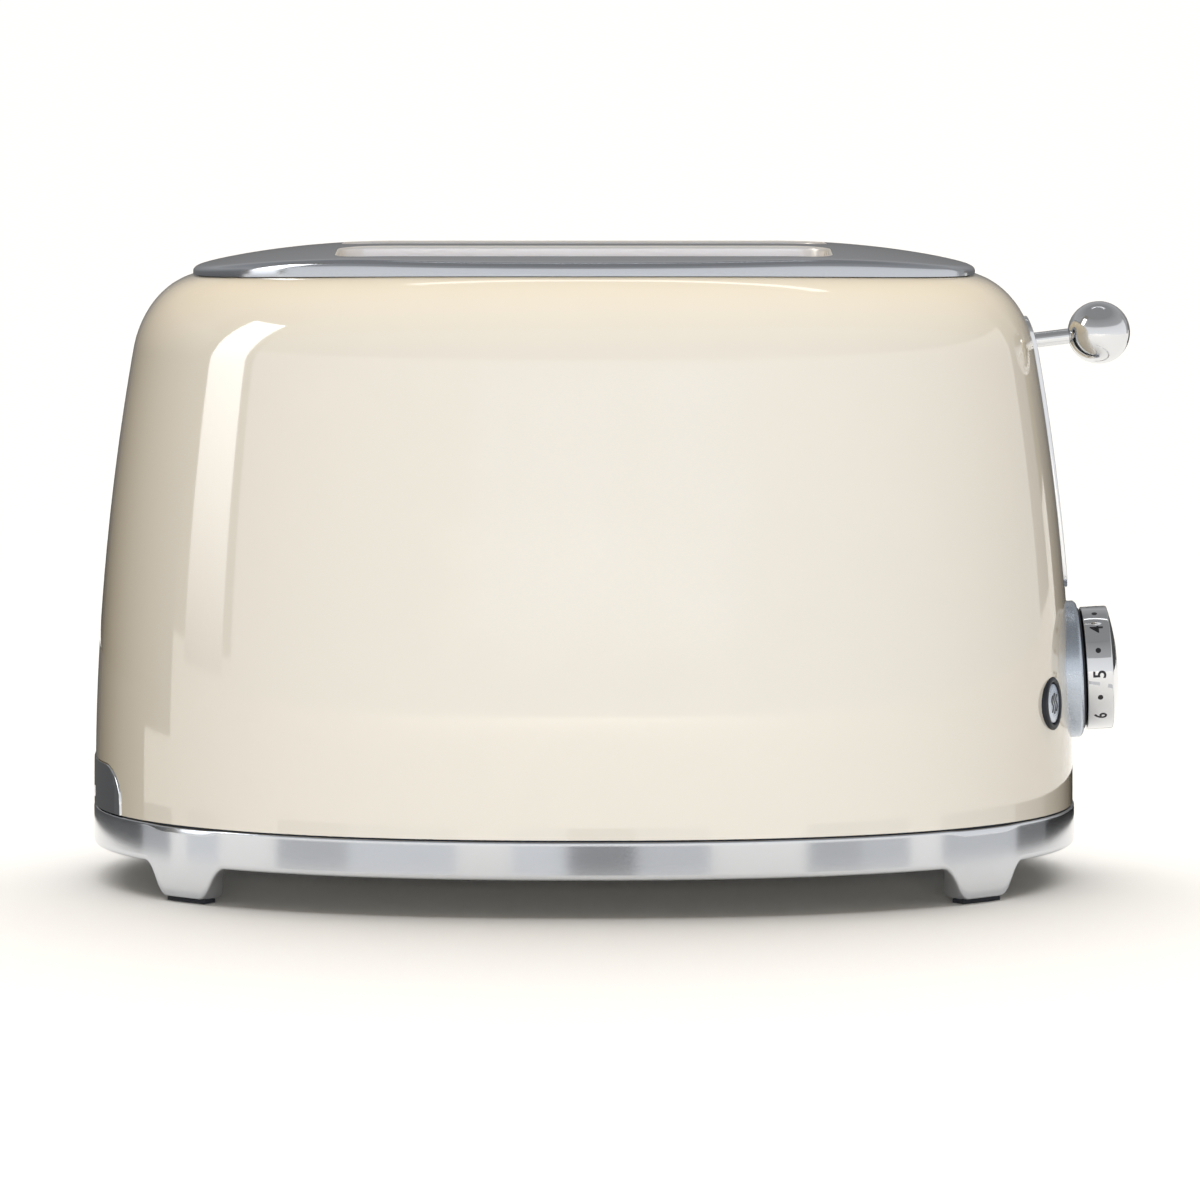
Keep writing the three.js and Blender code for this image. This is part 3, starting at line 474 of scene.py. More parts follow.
def satin_chrome():
    # Satin-plated zinc casting: soft reflections, a fine blasted grain drawn as coarse as 0.5 mm to show.
    finish = bpy.context.scene.toaster_finish
    return material_of("satin_plated_zinc", shades(finish.satin, 0.02), (0.13, 0.17), 0.5, depth=0.001,
                       Metallic=1.0)


def polished_steel():
    # Polished stainless steel: fine lines along the length, drawn 0.4 mm apart to show.
    finish = bpy.context.scene.toaster_finish
    return material_of("polished_stainless_steel", shades(finish.top, 0.03), (0.1, 0.16), 0.4,
                       stretch=(0.02, 1, 1), depth=0.001, Metallic=1.0)


def zinc_sheet():
    # Hot-dip galvanised sheet: dull, with crystals some 6 mm across.
    return material_of("galvanised_sheet", shades(linear("#A9ADB0"), 0.12), (0.32, 0.48), 6, depth=0.01,
                       Metallic=1.0)


def drawn_wire():
    # Nickel-plated spring steel wire: draw lines run along it, and heat has browned it a little.
    return material_of("plated_spring_wire", [linear("#8E9296"), linear("#B0AFA9")], (0.22, 0.36), 3,
                       depth=0.004, Metallic=1.0)


def black_plastic():
    # Moulded ABS: a spark-eroded grain of 0.4 mm keeps it from shining.
    return material_of("moulded_abs", shades(linear("#17181A"), 0.1), (0.42, 0.55), 0.4, depth=0.02,
                       IOR=1.5)


def rubber():
    # Moulded nitrile rubber: matt and slightly dusty, mottled over 3 mm.
    return material_of("moulded_rubber", shades(linear("#1C1C1C"), 0.2), (0.7, 0.85), 3, depth=0.02,
                       IOR=1.5)


def mica():
    # Pressed mica board: silky flakes some 4 mm across in a tan binder.
    return material_of("mica_board", [linear("#A89566"), linear("#CDBD93")], (0.3, 0.6), 4, depth=0.02,
                       IOR=1.58)


def resistance_ribbon():
    # Nickel-chromium ribbon: dulled to a brown-grey by an oxide that is blotched over 5 mm.
    return material_of("nickel_chromium_ribbon", [linear("#5A5149"), linear("#857A6E")], (0.35, 0.5), 5,
                       Metallic=1.0)


def copper_winding():
    # Varnished copper wire: turns 0.6 mm apart show as fine rings round the coil.
    return material_of("varnished_copper", [linear("#7A3F20"), linear("#C47A48")], (0.2, 0.35), 0.6,
                       stretch=(0.1, 0.1, 1), depth=0.08, Metallic=1.0)


def circuit_board():
    # Glass-epoxy board under solder mask: green gloss with tracks some 3 mm apart showing through.
    return material_of("solder_mask", [linear("#23482C"), linear("#356B42")], (0.25, 0.35), 3, IOR=1.5)


def printed():
    # Baked pad-printing ink: dense black with a slight sheen.
    ink = tuple(bpy.context.scene.toaster_finish.print_black) + (1.0,)
    return material_of("printed_ink", shades(ink, 0.05), (0.35, 0.45), 1, IOR=1.5)


def pressed_cap():
    # Anodised aluminium cap: pale, satin, with a grain of 0.3 mm.
    return material_of("anodised_aluminium", shades(linear("#C3CCD8"), 0.03), (0.25, 0.33), 0.3,
                       depth=0.002, Metallic=1.0)


# ---- Pieces ----

class ToasterOperator:
    """What every step shares: it can be undone."""
    bl_options = {"REGISTER", "UNDO"}


class BuildShell(ToasterOperator, bpy.types.Operator):
    """Press the enamelled shell, with its holes for the lever, dial, buttons and crumb tray"""
    bl_idname = "toaster.shell"
    bl_label = "Enamelled Shell"

    def execute(self, context):
        body, _, controls, _ = settings()
        outer = wall_line(0, 30, 26)
        inner = wall_line(body.sheet, 10, 8)[::-1]
        ledge = RIM_INSET - body.rim_gap + body.ledge
        section = outer + [(ledge, SHELL_HIGH.z), (ledge, SHELL_HIGH.z - body.sheet)] + inner

        def place(angle, inset, height):
            x, y = oval_point(angle, inset)
            share = max(0.0, (height - SHELL_LOW.z) / (SHELL_HIGH.z - SHELL_LOW.z))
            return x, y, height - sag_at(angle) * share ** RIM_SAG_FADE

        skin = spun_oval(section, body.sides, place)
        dial_seat = seat_on(JOINTS["dial_turn"]["pos_m"], JOINTS["dial_turn"]["axis"])
        holes = [lever_prism(controls.trim_flange / 2), tray_prism(0.3 * MM),
                 drum(controls.bezel_radius - MM, -20 * MM, 20 * MM, dial_seat)]
        for joint, side in (("reheat_press", -1), ("defrost_press", 1)):
            holes.append(drum(BUTTON_RIM - 0.4 * MM, -8 * MM, 8 * MM, button_seat(joint, side)))
        piece("enamel_shell", carved(skin, holes), enamel(), "housing", ["body_shell"])
        gasket = [(0.9 * MM, SHELL_LOW.z - 0.6 * MM), (0.9 * MM, SHELL_LOW.z + 0.05 * MM),
                  (2.4 * MM, SHELL_LOW.z + 0.05 * MM), (2.4 * MM, SHELL_LOW.z - 0.6 * MM)]
        ring = spun_oval(gasket, body.sides, lambda angle, inset, z: (*oval_point(angle, inset), z))
        tray_low, tray_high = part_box("crumb_tray_handle")
        mouth = block((tray_low.x - MM, tray_low.y, 0), (tray_high.x, tray_high.y, tray_high.z))
        piece("shell_gasket", carved(ring, [mouth]), rubber(), "housing")
        return {"FINISHED"}


def block(low, high):
    """A box between two corners."""
    bm = bmesh.new()
    size = [b - a for a, b in zip(low, high)]
    middle = [(a + b) / 2 for a, b in zip(low, high)]
    bmesh.ops.create_cube(bm, size=1, matrix=Matrix.Translation(middle) @ Matrix.Diagonal((*size, 1)))
    return bm


def drum(radius, bottom, top, seat, sides=96):
    """A solid cylinder on a seat."""
    return turned([(0, bottom), (radius, bottom), (radius, top), (0, top)], seat, sides, closed=False)


def lever_outline(margin):
    """The lever slot's outline, widened by a margin, as (y, z) points."""
    half = bpy.context.scene.toaster_controls.slot_width / 2 + margin
    low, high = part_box("lever_slot_trim")
    flange = bpy.context.scene.toaster_controls.trim_flange
    return rounded_rectangle(-half, half, low.z + flange - margin, high.z - flange + margin, half, 12)


def lever_prism(margin):
    """The space of the lever slot through the wall."""
    outline = lever_outline(margin)
    ends = (CENTRE_X + HALF_LENGTH / 2, CENTRE_X + 2 * HALF_LENGTH)
    return lofted([[(x, y, z) for y, z in outline] for x in ends])


def tray_outline(margin):
    """The tray handle's outline, with its foot carried down past the shell's edge, as (y, z) points."""
    low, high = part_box("crumb_tray_handle")
    corner = 11 * MM
    return rounded_rectangle(low.y - margin, high.y + margin, low.z - 2 * corner, high.z + margin,
                             corner, 12)


def tray_prism(margin):
    """The space of the tray's mouth through the wall."""
    outline = tray_outline(margin)
    ends = (CENTRE_X - 2 * HALF_LENGTH, CENTRE_X - HALF_LENGTH / 2)
    return lofted([[(x, y, z) for y, z in outline] for x in ends])


class BuildTop(ToasterOperator, bpy.types.Operator):
    """Press the polished top with its two bread slots and their folded-down edges"""
    bl_idname = "toaster.top"
    bl_label = "Top Panel"

    def execute(self, context):
        body = settings()[0]
        wall = 1.5 * MM
        bend = body.band_round
        turns = [FULL_TURN / 4 * i / 5 for i in range(6)]
        edge = [(RIM_INSET + bend * (1 - math.cos(t)), bend * (1 - math.sin(t))) for t in turns]
        spine = HALF_WIDTH - WELD / 2
        rings = [RIM_INSET + bend + (spine - RIM_INSET - bend) * i / 26 for i in range(1, 27)]
        under = [spine - (spine - RIM_INSET - wall) * i / 8 for i in range(9)]
        outside = [(inset, 0) for inset in rings[::-1]] + edge[::-1] + [(RIM_INSET, body.band)]
        section = outside + [(RIM_INSET + wall, body.band)] + [(inset, wall) for inset in under[::-1]]

        def place(angle, inset, depth):
            x, y = oval_point(angle, inset)
            rim = oval_point(angle, RIM_INSET)
            rim_drop = dome_at(*rim) - (SHELL_HIGH.z + body.rim_gap) + sag_at(angle)
            return x, y, dome_at(x, y) - depth * rim_drop / body.band

        slots = [slot_edges(side) for side in (-1, 1)]
        lip = SLOT_LIP * MM
        cutters = []
        for left, right, front, back in slots:
            outline = rounded_rectangle(left - lip, right + lip, front - lip, back + lip,
                                        SLOT_CORNER * MM + lip, 14)
            cutters.append(lofted([[(x + CENTRE_X, y, z) for x, y in outline]
                                   for z in (PANEL_LOW.z - 20 * MM, PANEL_HIGH.z + 10 * MM)]))
        skin = carved(spun_oval(section, body.sides, place, closed=False), cutters)
        piece("top_dome", skin, polished_steel(), "housing", ["top_panel"], crease=40)
        collars = joined(*(slot_collar(*slot) for slot in slots))
        piece("slot_collars", collars, rolled_edge(), "housing", crease=50)
        return {"FINISHED"}


SLOT_LIP = 1.1
SLOT_CORNER = 8.5
SLOT_WALL = 1.1
SLOT_DROP = 8


def slot_edges(side):
    """A bread slot's left, right, front and back, from the grids that line it."""
    name = "front" if side < 0 else "back"
    outer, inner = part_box("bread_guard_outer_" + name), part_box("bread_guard_inner_" + name)
    front = min(outer[0].y, inner[0].y) + 0.75 * MM - 1.5 * MM
    back = max(outer[1].y, inner[1].y) - 0.75 * MM + 1.5 * MM
    left, right = outer[0].x - CENTRE_X - 1.6 * MM, outer[1].x - CENTRE_X + 1.6 * MM
    return left, right, front, back


def slot_collar(left, right, front, back):
    """The folded-down edge of one slot: a rounded lip, a straight wall and its hidden back."""
    path = [(SLOT_LIP * (1 - math.sin(t)), -SLOT_LIP * (1 - math.cos(t)))
            for t in (FULL_TURN / 4 * i / 6 for i in range(7))]
    path += [(0, -SLOT_DROP), (SLOT_WALL, -SLOT_DROP), (SLOT_WALL, -SLOT_LIP - 0.8), (SLOT_LIP, -0.6)]
    loops = []
    for margin, drop in path:
        m = margin * MM
        outline = rounded_rectangle(left - m, right + m, front - m, back + m, SLOT_CORNER * MM + m, 14)
        loops.append([(x, y, drop * MM) for x, y in outline])
    bm = lofted(loops, closed=True)
    sliced(bm, 0, left, right, 6 * MM)
    sliced(bm, 1, front, back, 6 * MM)
    for vert in bm.verts:
        vert.co.z += dome_at(vert.co.x, vert.co.y)
        vert.co.x += CENTRE_X
    return bm


class BuildBase(ToasterOperator, bpy.types.Operator):
    """Cast the base, whose skirt runs down into four feet"""
    bl_idname = "toaster.base"
    bl_label = "Base"

    def execute(self, context):
        base = settings()[1]
        edge, lip = base.edge_round, base.lip
        top, bottom = BASE_HIGH.z, base.skirt_bottom
        quarter = [FULL_TURN / 4 * i / 5 for i in range(6)]
        section = [(lip * (1 - math.cos(t)), top - lip * (1 - math.sin(t))) for t in quarter[::-1]]
        section += [(0, top - lip - (top - lip - bottom - edge) * i / 10) for i in range(1, 10)]
        section += [(edge * (1 - math.cos(t)), bottom + edge * (1 - math.sin(t))) for t in quarter]
        section += [(base.wall - edge / 2, bottom), (base.wall, bottom + edge / 2)]
        section += [(base.wall, bottom + edge + (top - bottom - edge) * i / 4) for i in range(5)]
        foot_x, foot_y = oval_point(base.foot_angle, 0)
        along_x, along_y = (b - a for a, b in zip(
            oval_point(base.foot_angle - 0.01, 0), oval_point(base.foot_angle + 0.01, 0)))
        stride = math.hypot(along_x, along_y)

        def place(angle, inset, height):
            x, y = oval_point(angle, 0)
            aside = abs(((abs(x) - foot_x) * along_x + (abs(y) - foot_y) * along_y) / stride)
            share = foot_share(aside, base.foot_sole, base.foot_root)
            drop = share * (bottom - base.foot_bottom)
            straight = top - lip - bottom - edge
            height -= drop * min(1.0, max(0.0, (top - lip - height) / straight))
            deep = inset / base.wall
            inset += share * deep * (base.foot_depth - base.wall)
            return (*oval_point(angle, inset), height)

        skirt = spun_oval(section, base.columns, place)
        piece("cast_base", skirt, satin_chrome(), "housing", ["base_frame"], crease=50)
        return {"FINISHED"}


def foot_share(aside, sole, root):
    """1 over a foot's sole and 0 past its root, with a straight flank between and both corners eased."""
    t = (aside - sole) / (root - sole)
    ease = 0.45 if t < 0.5 else 0.5

    def area(value):
        return 0.0 if value < 0 else value * value / 2 if value < 1 else value - 0.5

    return 1 - (area(t + ease) - area(t - ease)) / (2 * ease)


class BuildTrims(ToasterOperator, bpy.types.Operator):
    """Frame the lever slot and face the crumb tray's handle"""
    bl_idname = "toaster.trims"
    bl_label = "Slot Frame and Tray Handle"

    def execute(self, context):
        controls = settings()[2]
        flange, proud = controls.trim_flange, controls.trim_proud
        soft = 0.35 * MM
        rim = [(flange, -0.3 * MM), (flange, proud - soft), (flange - 0.1 * MM, proud - soft / 3),
               (flange - soft, proud), (soft, proud), (0.1 * MM, proud - soft / 3), (0, proud - soft),
               (0, -2.9 * MM), (1.0 * MM, -2.9 * MM), (1.0 * MM, -0.3 * MM)]
        loops = [[(height, y, z) for y, z in lever_outline(margin)] for margin, height in rim]
        frame_bm = lofted(loops, closed=True)
        low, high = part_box("lever_slot_trim")
        sliced(frame_bm, 2, low.z, high.z, 2.5 * MM)
        laid_on_wall(frame_bm, 1)
        piece("slot_frame", frame_bm, chrome(), "housing", ["lever_slot_trim"])

        low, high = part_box("crumb_tray_handle")
        steps = [(0, -0.9 * MM), (0, 0.15 * MM), (-0.08 * MM, 0.32 * MM), (-0.3 * MM, 0.4 * MM)]
        loops = [[(height, y, z) for y, z in tray_outline(margin)] for margin, height in steps]
        face = lofted(loops)
        bmesh.ops.bisect_plane(face, geom=face.verts[:] + face.edges[:] + face.faces[:], dist=WELD,
                               plane_co=(0, 0, low.z), plane_no=(0, 0, -1), clear_outer=True)
        bmesh.ops.holes_fill(face, edges=[e for e in face.edges if e.is_boundary], sides=0)
        sliced(face, 1, low.y, high.y, 2.5 * MM)
        sliced(face, 2, low.z, high.z, 3 * MM)
        laid_on_wall(face, -1)
        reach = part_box("crumb_tray")[0].x - 0.3 * MM
        tongue_low = CENTRE_X - HALF_LENGTH + 0.8 * MM
        tongue = block((tongue_low, -14 * MM, low.z + 2.4 * MM), (reach, 14 * MM, low.z + 5.8 * MM))
        piece("tray_handle", joined(face, tongue), chrome(), "crumb_tray", ["crumb_tray_handle"])
        return {"FINISHED"}


# Radii of the side buttons, and heights along their axis from the shell's side.
BUTTON_RIM = 8.25 * MM
BUTTON_CAP = 6.1 * MM
BUTTON_EDGE = 0.1 * MM
RIM_FOOT = -3.5 * MM
RIM_TOP = 0.5 * MM
CAP_FOOT = -1.7 * MM
CAP_TOP = 0.45 * MM
SIGN_BASE = 0.34 * MM
SIGN_THICKNESS = 0.16 * MM
# The dial's face stands this high in mm in the middle, and lower by the second at its edge.
CROWN_TOP = 15.1
CROWN_FALL = 2.7
# Radius of the lever's ball.
KNOB_RADIUS = 9.75 * MM


class BuildDial(ToasterOperator, bpy.types.Operator):
    """Turn the browning dial, its bezel and the stop button, and print the numbers 1 to 6"""
    bl_idname = "toaster.dial"
    bl_label = "Browning Dial"

    def execute(self, context):
        controls = settings()[2]
        seat = seat_on(JOINTS["dial_turn"]["pos_m"], JOINTS["dial_turn"]["axis"])
        outer, dial, stop = (r / MM for r in (
            controls.bezel_radius, controls.dial_radius, controls.stop_radius))

        def section(points):
            return [(radius * MM, height * MM) for radius, height in points]

        bezel = section([(3.4, -6.5), (outer, -6.5), (outer, 2.2), (outer - 1.1, 3.2), (outer - 2.2, 3.0),
                         (outer - 2.3, -5), (3.4, -5)])
        piece("dial_bezel_ring", turned(bezel, seat, 128, 0.45 * MM), pressed_cap(), "housing",
              ["dial_bezel"])
        # Painted shadow: a black ring fills the space under the dial's edge, so the gap between the dial
        # and the bezel reads dark.
        shadow = section([(12, 0.3), (outer - 2.5, 0.3), (outer - 2.5, 3.7), (outer - 3.2, 4.0),
                          (12, 4.0)])
        piece("dial_painted_shadow_ring", turned(shadow, seat, 128), black_plastic(), "housing",
              ["dial_shadow_ring"])

        def crown(radius):
            return CROWN_TOP - CROWN_FALL * (radius / dial) ** 2

        face = section([(3.3, 4.3), (dial, 4.3), (dial, 12.4),
                        *((r, crown(r)) for r in (18, 16.5, 15, 13.5, 12.4)),
                        (stop + 0.3, crown(stop + 0.3)), (stop + 0.3, 9.2), (3.3, 9.2)])
        piece("dial_knob", turned(face, seat, 160, 0.4 * MM), chrome(), "dial",
              ["browning_dial"], crease=50)
        cap = section([(0, 10.8), (stop, 10.8), *((r, crown(r)) for r in (stop, 9, 6, 3)), (0, CROWN_TOP)])
        piece("stop_cap", turned(cap, seat, 96, 0.4 * MM, closed=False), chrome(), "stop_button",
              ["stop_button"], crease=50)
        marks = [digit_mark(str(number), 90 + 45 * (number - 1), seat) for number in range(1, 7)]
        marks += [dot_mark(112.5 + 45 * i, seat) for i in range(5)]
        piece("dial_numbers", joined(*marks), printed(), "dial")
        return {"FINISHED"}


def wrapped(bm, degrees, seat):
    """Wraps a flat mark, lying in X and Y, round the dial's side with its top towards the body."""
    radius = bpy.context.scene.toaster_controls.dial_radius
    sliced(bm, 0, -3 * MM, 3 * MM, 0.4 * MM)
    flat = bm.faces[:]
    raised = bmesh.ops.extrude_face_region(bm, geom=flat)
    for vert in (e for e in raised["geom"] if isinstance(e, bmesh.types.BMVert)):
        vert.co.z += 0.08 * MM
    for vert in bm.verts:
        across, up, thick = vert.co
        angle = math.radians(degrees) - across / radius
        out = radius - 0.04 * MM + thick
        vert.co = (out * math.cos(angle), out * math.sin(angle), 8.2 * MM - up)
    bm.transform(seat)
    return bm


def digit_mark(text, degrees, seat):
    """One number of the dial."""
    curve = bpy.data.curves.new("digit", "FONT")
    curve.body = text
    curve.size = 1
    curve.align_x = "CENTER"
    curve.offset = 0.018
    curve.resolution_u = 6
    carrier = bpy.data.objects.new("digit", curve)
    bpy.context.scene.collection.objects.link(carrier)
    bpy.context.view_layer.update()
    data = bpy.data.meshes.new_from_object(carrier.evaluated_get(bpy.context.evaluated_depsgraph_get()))
    bm = bmesh.new()
    bm.from_mesh(data)
    bpy.data.meshes.remove(data)
    bpy.data.curves.remove(curve)
    bmesh.ops.remove_doubles(bm, verts=bm.verts, dist=1e-5)
    low = min(v.co.y for v in bm.verts)
    high = max(v.co.y for v in bm.verts)
    scale = bpy.context.scene.toaster_controls.digit_height / (high - low)
    left = min(v.co.x for v in bm.verts)
    right = max(v.co.x for v in bm.verts)
    bmesh.ops.translate(bm, vec=(-(left + right) / 2, -(low + high) / 2, 0), verts=bm.verts)
    bmesh.ops.scale(bm, vec=(scale, scale, scale), verts=bm.verts)
    return wrapped(bm, degrees, seat)


def dot_mark(degrees, seat):
    """The dot half way between two numbers."""
    bm = bmesh.new()
    bmesh.ops.create_circle(bm, cap_ends=True, segments=28, radius=0.85 * MM)
    return wrapped(bm, degrees, seat)


class BuildButtons(ToasterOperator, bpy.types.Operator):
    """Fit the reheat and defrost buttons with their signs"""
    bl_idname = "toaster.buttons"
    bl_label = "Side Buttons"

    def execute(self, context):
        for name, side, sign in (("reheat", -1, heat_sign), ("defrost", 1, frost_sign)):
            seat = button_seat(name + "_press", side)
            bore = BUTTON_CAP + 0.4 * MM
            rim = [(bore, RIM_FOOT), (BUTTON_RIM, RIM_FOOT), (BUTTON_RIM, BUTTON_EDGE),
                   (BUTTON_RIM - RIM_TOP, RIM_TOP), (bore + 0.3 * MM, RIM_TOP), (bore, BUTTON_EDGE)]
            piece(name + "_collar", turned(rim, seat, 96, 0.2 * MM), black_plastic(), "housing",
                  [name + "_button_rim"])
            cap = [(0, CAP_FOOT), (BUTTON_CAP, CAP_FOOT), (BUTTON_CAP, BUTTON_EDGE),
                   (4 * MM, 0.35 * MM), (0, CAP_TOP)]
            piece(name + "_cap", turned(cap, seat, 96, 0.3 * MM, closed=False), pressed_cap(),
                  name + "_button", [name + "_button"])
            marks = sign()
            lifted = bmesh.ops.extrude_face_region(marks, geom=marks.faces[:])
            for vert in (e for e in lifted["geom"] if isinstance(e, bmesh.types.BMVert)):
                vert.co.z += SIGN_THICKNESS
            for vert in marks.verts:
                vert.co.z += SIGN_BASE
            marks.transform(seat)
            piece(name + "_sign", marks, printed(), name + "_button")
        return {"FINISHED"}


def stroke(long, wide, wave=0.0, turns=2.0):
    """A flat stroke along X, waved if asked."""
    bm = bmesh.new()
    bmesh.ops.create_grid(bm, x_segments=32 if wave else 1, y_segments=1, size=0.5,
                          matrix=Matrix.Diagonal((long * MM, wide * MM, 1, 1)))
    for vert in bm.verts:
        vert.co.y += wave * MM * math.sin(turns * FULL_TURN * vert.co.x / (long * MM))
    return bm


def heat_sign():
    """Three rising waves of heat."""
    waves = []
    for across in (-2.1, 0, 2.1):
        wave = stroke(6.4 if across == 0 else 5.2, 0.85, 0.62, 1.25)
        wave.transform(Matrix.Translation((0, across * MM, 0)))
        waves.append(wave)
    return joined(*waves)


def frost_sign():
    """A six-armed flake."""
    arms = []
    for i in range(6):
        turn = Matrix.Rotation(FULL_TURN * i / 6, 4, "Z")
        arm = stroke(3.9, 0.6)
        arm.transform(turn @ Matrix.Translation((1.95 * MM, 0, 0)))
        arms.append(arm)
        for side in (-1, 1):
            twig = stroke(1.3, 0.45)
            lean = Matrix.Rotation(side * FULL_TURN / 8, 4, "Z") @ Matrix.Translation((0.65 * MM, 0, 0))
            twig.transform(turn @ Matrix.Translation((2.3 * MM, 0, 0)) @ lean)
            arms.append(twig)
    return joined(*arms)


class BuildLever(ToasterOperator, bpy.types.Operator):
    """Fit the lever's rod and ball"""
    bl_idname = "toaster.lever"
    bl_label = "Lever"

    def execute(self, context):
        controls = settings()[2]
        low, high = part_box("lever_ball")
        centre = (low + high) / 2
        radius = KNOB_RADIUS
        axis = Vector((math.cos(controls.lever_tilt), 0, math.sin(controls.lever_tilt)))
        seat = seat_on(centre, axis)
        root = (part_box("lever_arm")[0] - centre).dot(axis) + 0.6 * MM
        tip = -radius * 0.6
        rod = [(0, root), (controls.lever_rod, root), (controls.lever_rod, tip), (0, tip)]
        piece("lever_rod", turned(rod, seat, 64, 0.3 * MM, closed=False), chrome(), "lever_carriage",
              ["lever_arm"])
        neck = math.asin((controls.lever_rod + 0.25 * MM) / radius)
        arc = [(radius * math.sin(t), -radius * math.cos(t))
               for t in (neck + (math.pi - neck) * i / 48 for i in range(48))]
        ball = [(0, arc[0][1] + 0.9 * MM), (arc[0][0], arc[0][1] + 0.9 * MM), *arc, (0, radius)]
        piece("lever_knob", turned(ball, seat, 96, closed=False), soft_chrome(), "lever_carriage",
              ["lever_ball"], crease=60)
        return {"FINISHED"}


class BuildGrids(ToasterOperator, bpy.types.Operator):
    """Bend the wire grids that hold the bread"""
    bl_idname = "toaster.grids"
    bl_label = "Bread Grids"

    def execute(self, context):
        for place in ("outer_front", "outer_back", "inner_front", "inner_back"):
            node = "bread_guard_" + place
            low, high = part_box(node)
            thick = (high.y - low.y) / 2
            middle = (low.y + high.y) / 2
            wires = []
            count = 10
            for i in range(count):
                x = low.x + thick + (high.x - low.x - 2 * thick) * i / (count - 1)
                wires.append(rod_between((x, middle, low.z + thick), (x, middle, high.z - thick), thick))
            for z in (low.z + thick, (low.z + high.z) / 2, high.z - thick):
                wires.append(rod_between((low.x + thick, middle, z), (high.x - thick, middle, z), thick))
            piece("grid_" + place, joined(*wires), drawn_wire(), node, [node])
        return {"FINISHED"}


def rod_between(start, end, radius):
    """A round wire with domed ends between two points."""
    start, end = Vector(start), Vector(end)
    run = end - start
    seat = Matrix.Translation(start) @ run.to_track_quat("Z", "Y").to_matrix().to_4x4()
    long = run.length
    ends = [FULL_TURN / 4 * i / 3 for i in range(4)]
    section = [(radius * math.sin(t), -radius * math.cos(t)) for t in ends]
    section += [(radius * math.cos(t), long + radius * math.sin(t)) for t in ends]
    return turned(section, seat, 12, closed=False)


class FinishWorks(ToasterOperator, bpy.types.Operator):
    """Give the works inside, the tray and the floor parts their materials"""
    bl_idname = "toaster.works"
    bl_label = "Works Inside"

    def execute(self, context):
        finishes = (
            (zinc_sheet, ("bottom_plate", "base_screw", "crumb_tray", "chassis_plate", "guide_rod",
                          "carriage", "magnet_keeper", "magnet_core", "dial_shaft", "heat_shield")),
            (drawn_wire, ("bread_rack", "lift_spring")),
            (black_plastic, ("dial_potentiometer", "reheat_switch", "defrost_switch", "cord_hook",
                             "terminal_block")),
            (rubber, ("foot_pad", "cord_gland")),
            (mica, ("heater_card",)),
            (resistance_ribbon, ("heater_ribbon",)),
            (copper_winding, ("magnet_coil",)),
            (circuit_board, ("control_board",)),
        )
        for name, obj in sorted(frame["nodes"].items()):
            if obj.hide_render:
                continue
            made = [make for make, starts in finishes if name.startswith(starts)]
            if len(made) != 1:
                raise RuntimeError(name + " has no finish of its own")
            obj.data.materials.clear()
            obj.data.materials.append(made[0]())
        return {"FINISHED"}


# ---- Stage ----

def glow(name, low, high, bottom, top):
    """A card's light, which rises from one strength at its lower edge to another at its upper one."""
    material = bpy.data.materials.new(name)
    material.use_nodes = True
    tree = material.node_tree
    tree.nodes.clear()
    place = add_node(tree, "ShaderNodeTexCoord", {})
    split = add_node(tree, "ShaderNodeSeparateXYZ", {"Vector": place.outputs["Object"]})
    strength = add_node(tree, "ShaderNodeMapRange", {
        "Value": split.outputs["Z"], "From Min": low, "From Max": high, "To Min": bottom, "To Max": top})
    light = add_node(tree, "ShaderNodeEmission", {"Strength": strength.outputs["Result"]})
    add_node(tree, "ShaderNodeOutputMaterial", {"Surface": light.outputs["Emission"]})
    return material


def skirt_flag(name, span, strength, tall):
    """A card that stands round the base, between two angles of the plan in degrees."""
    bm = bmesh.new()
    steps = max(3, round((span[1] - span[0]) / 2))
    rings = []
    for height in (0.5 * MM, tall):
        angles = [math.radians(span[0] + (span[1] - span[0]) * i / steps) for i in range(steps + 1)]
        points = [(*oval_point(angle, -80 * MM), height) for angle in angles]
        rings.append(wire(bm, [(x + CENTRE_X, y, z) for x, y, z in points], False)[1])
    bmesh.ops.bridge_loops(bm, edges=rings[0] + rings[1])
    return reflecting_card(name, bm, 0, tall, (strength, strength))


def reflector(name, turn, low, high, radius, strengths, middle=(0, 0), reach=0.0):
    """A curved card that only shows in reflections, between two bearings in degrees.

    A bearing of 0 is in front, and 90 is to the right, as the camera sees it. With a reach it lies flat
    instead.
    """
    bm = bmesh.new()
    start = math.radians(turn[0] - 90)
    sweep = math.radians(turn[1] - turn[0])
    x, y = radius * math.cos(start), radius * math.sin(start)
    inner = 1 - reach / radius
    verts, edges = wire(bm, [(x * inner, y * inner, high if reach else low), (x, y, high)], False)
    steps = max(2, round(abs(turn[1] - turn[0]) / 3))
    bmesh.ops.spin(bm, geom=verts + edges, cent=(0, 0, 0), axis=(0, 0, 1), angle=sweep, steps=steps)
    bmesh.ops.translate(bm, vec=(middle[0], middle[1], 0), verts=bm.verts)
    return reflecting_card(name, bm, low, high, strengths)


def reflecting_card(name, bm, low, high, strengths):
    """A glowing card that only shows in reflections."""
    card = held(bm, name)
    card.data.materials.append(glow(name + "_light", low, high, *strengths))
    card.visible_camera = False
    card.visible_diffuse = False
    card.visible_shadow = False
    card.visible_transmission = False
    card.visible_volume_scatter = False
    return card


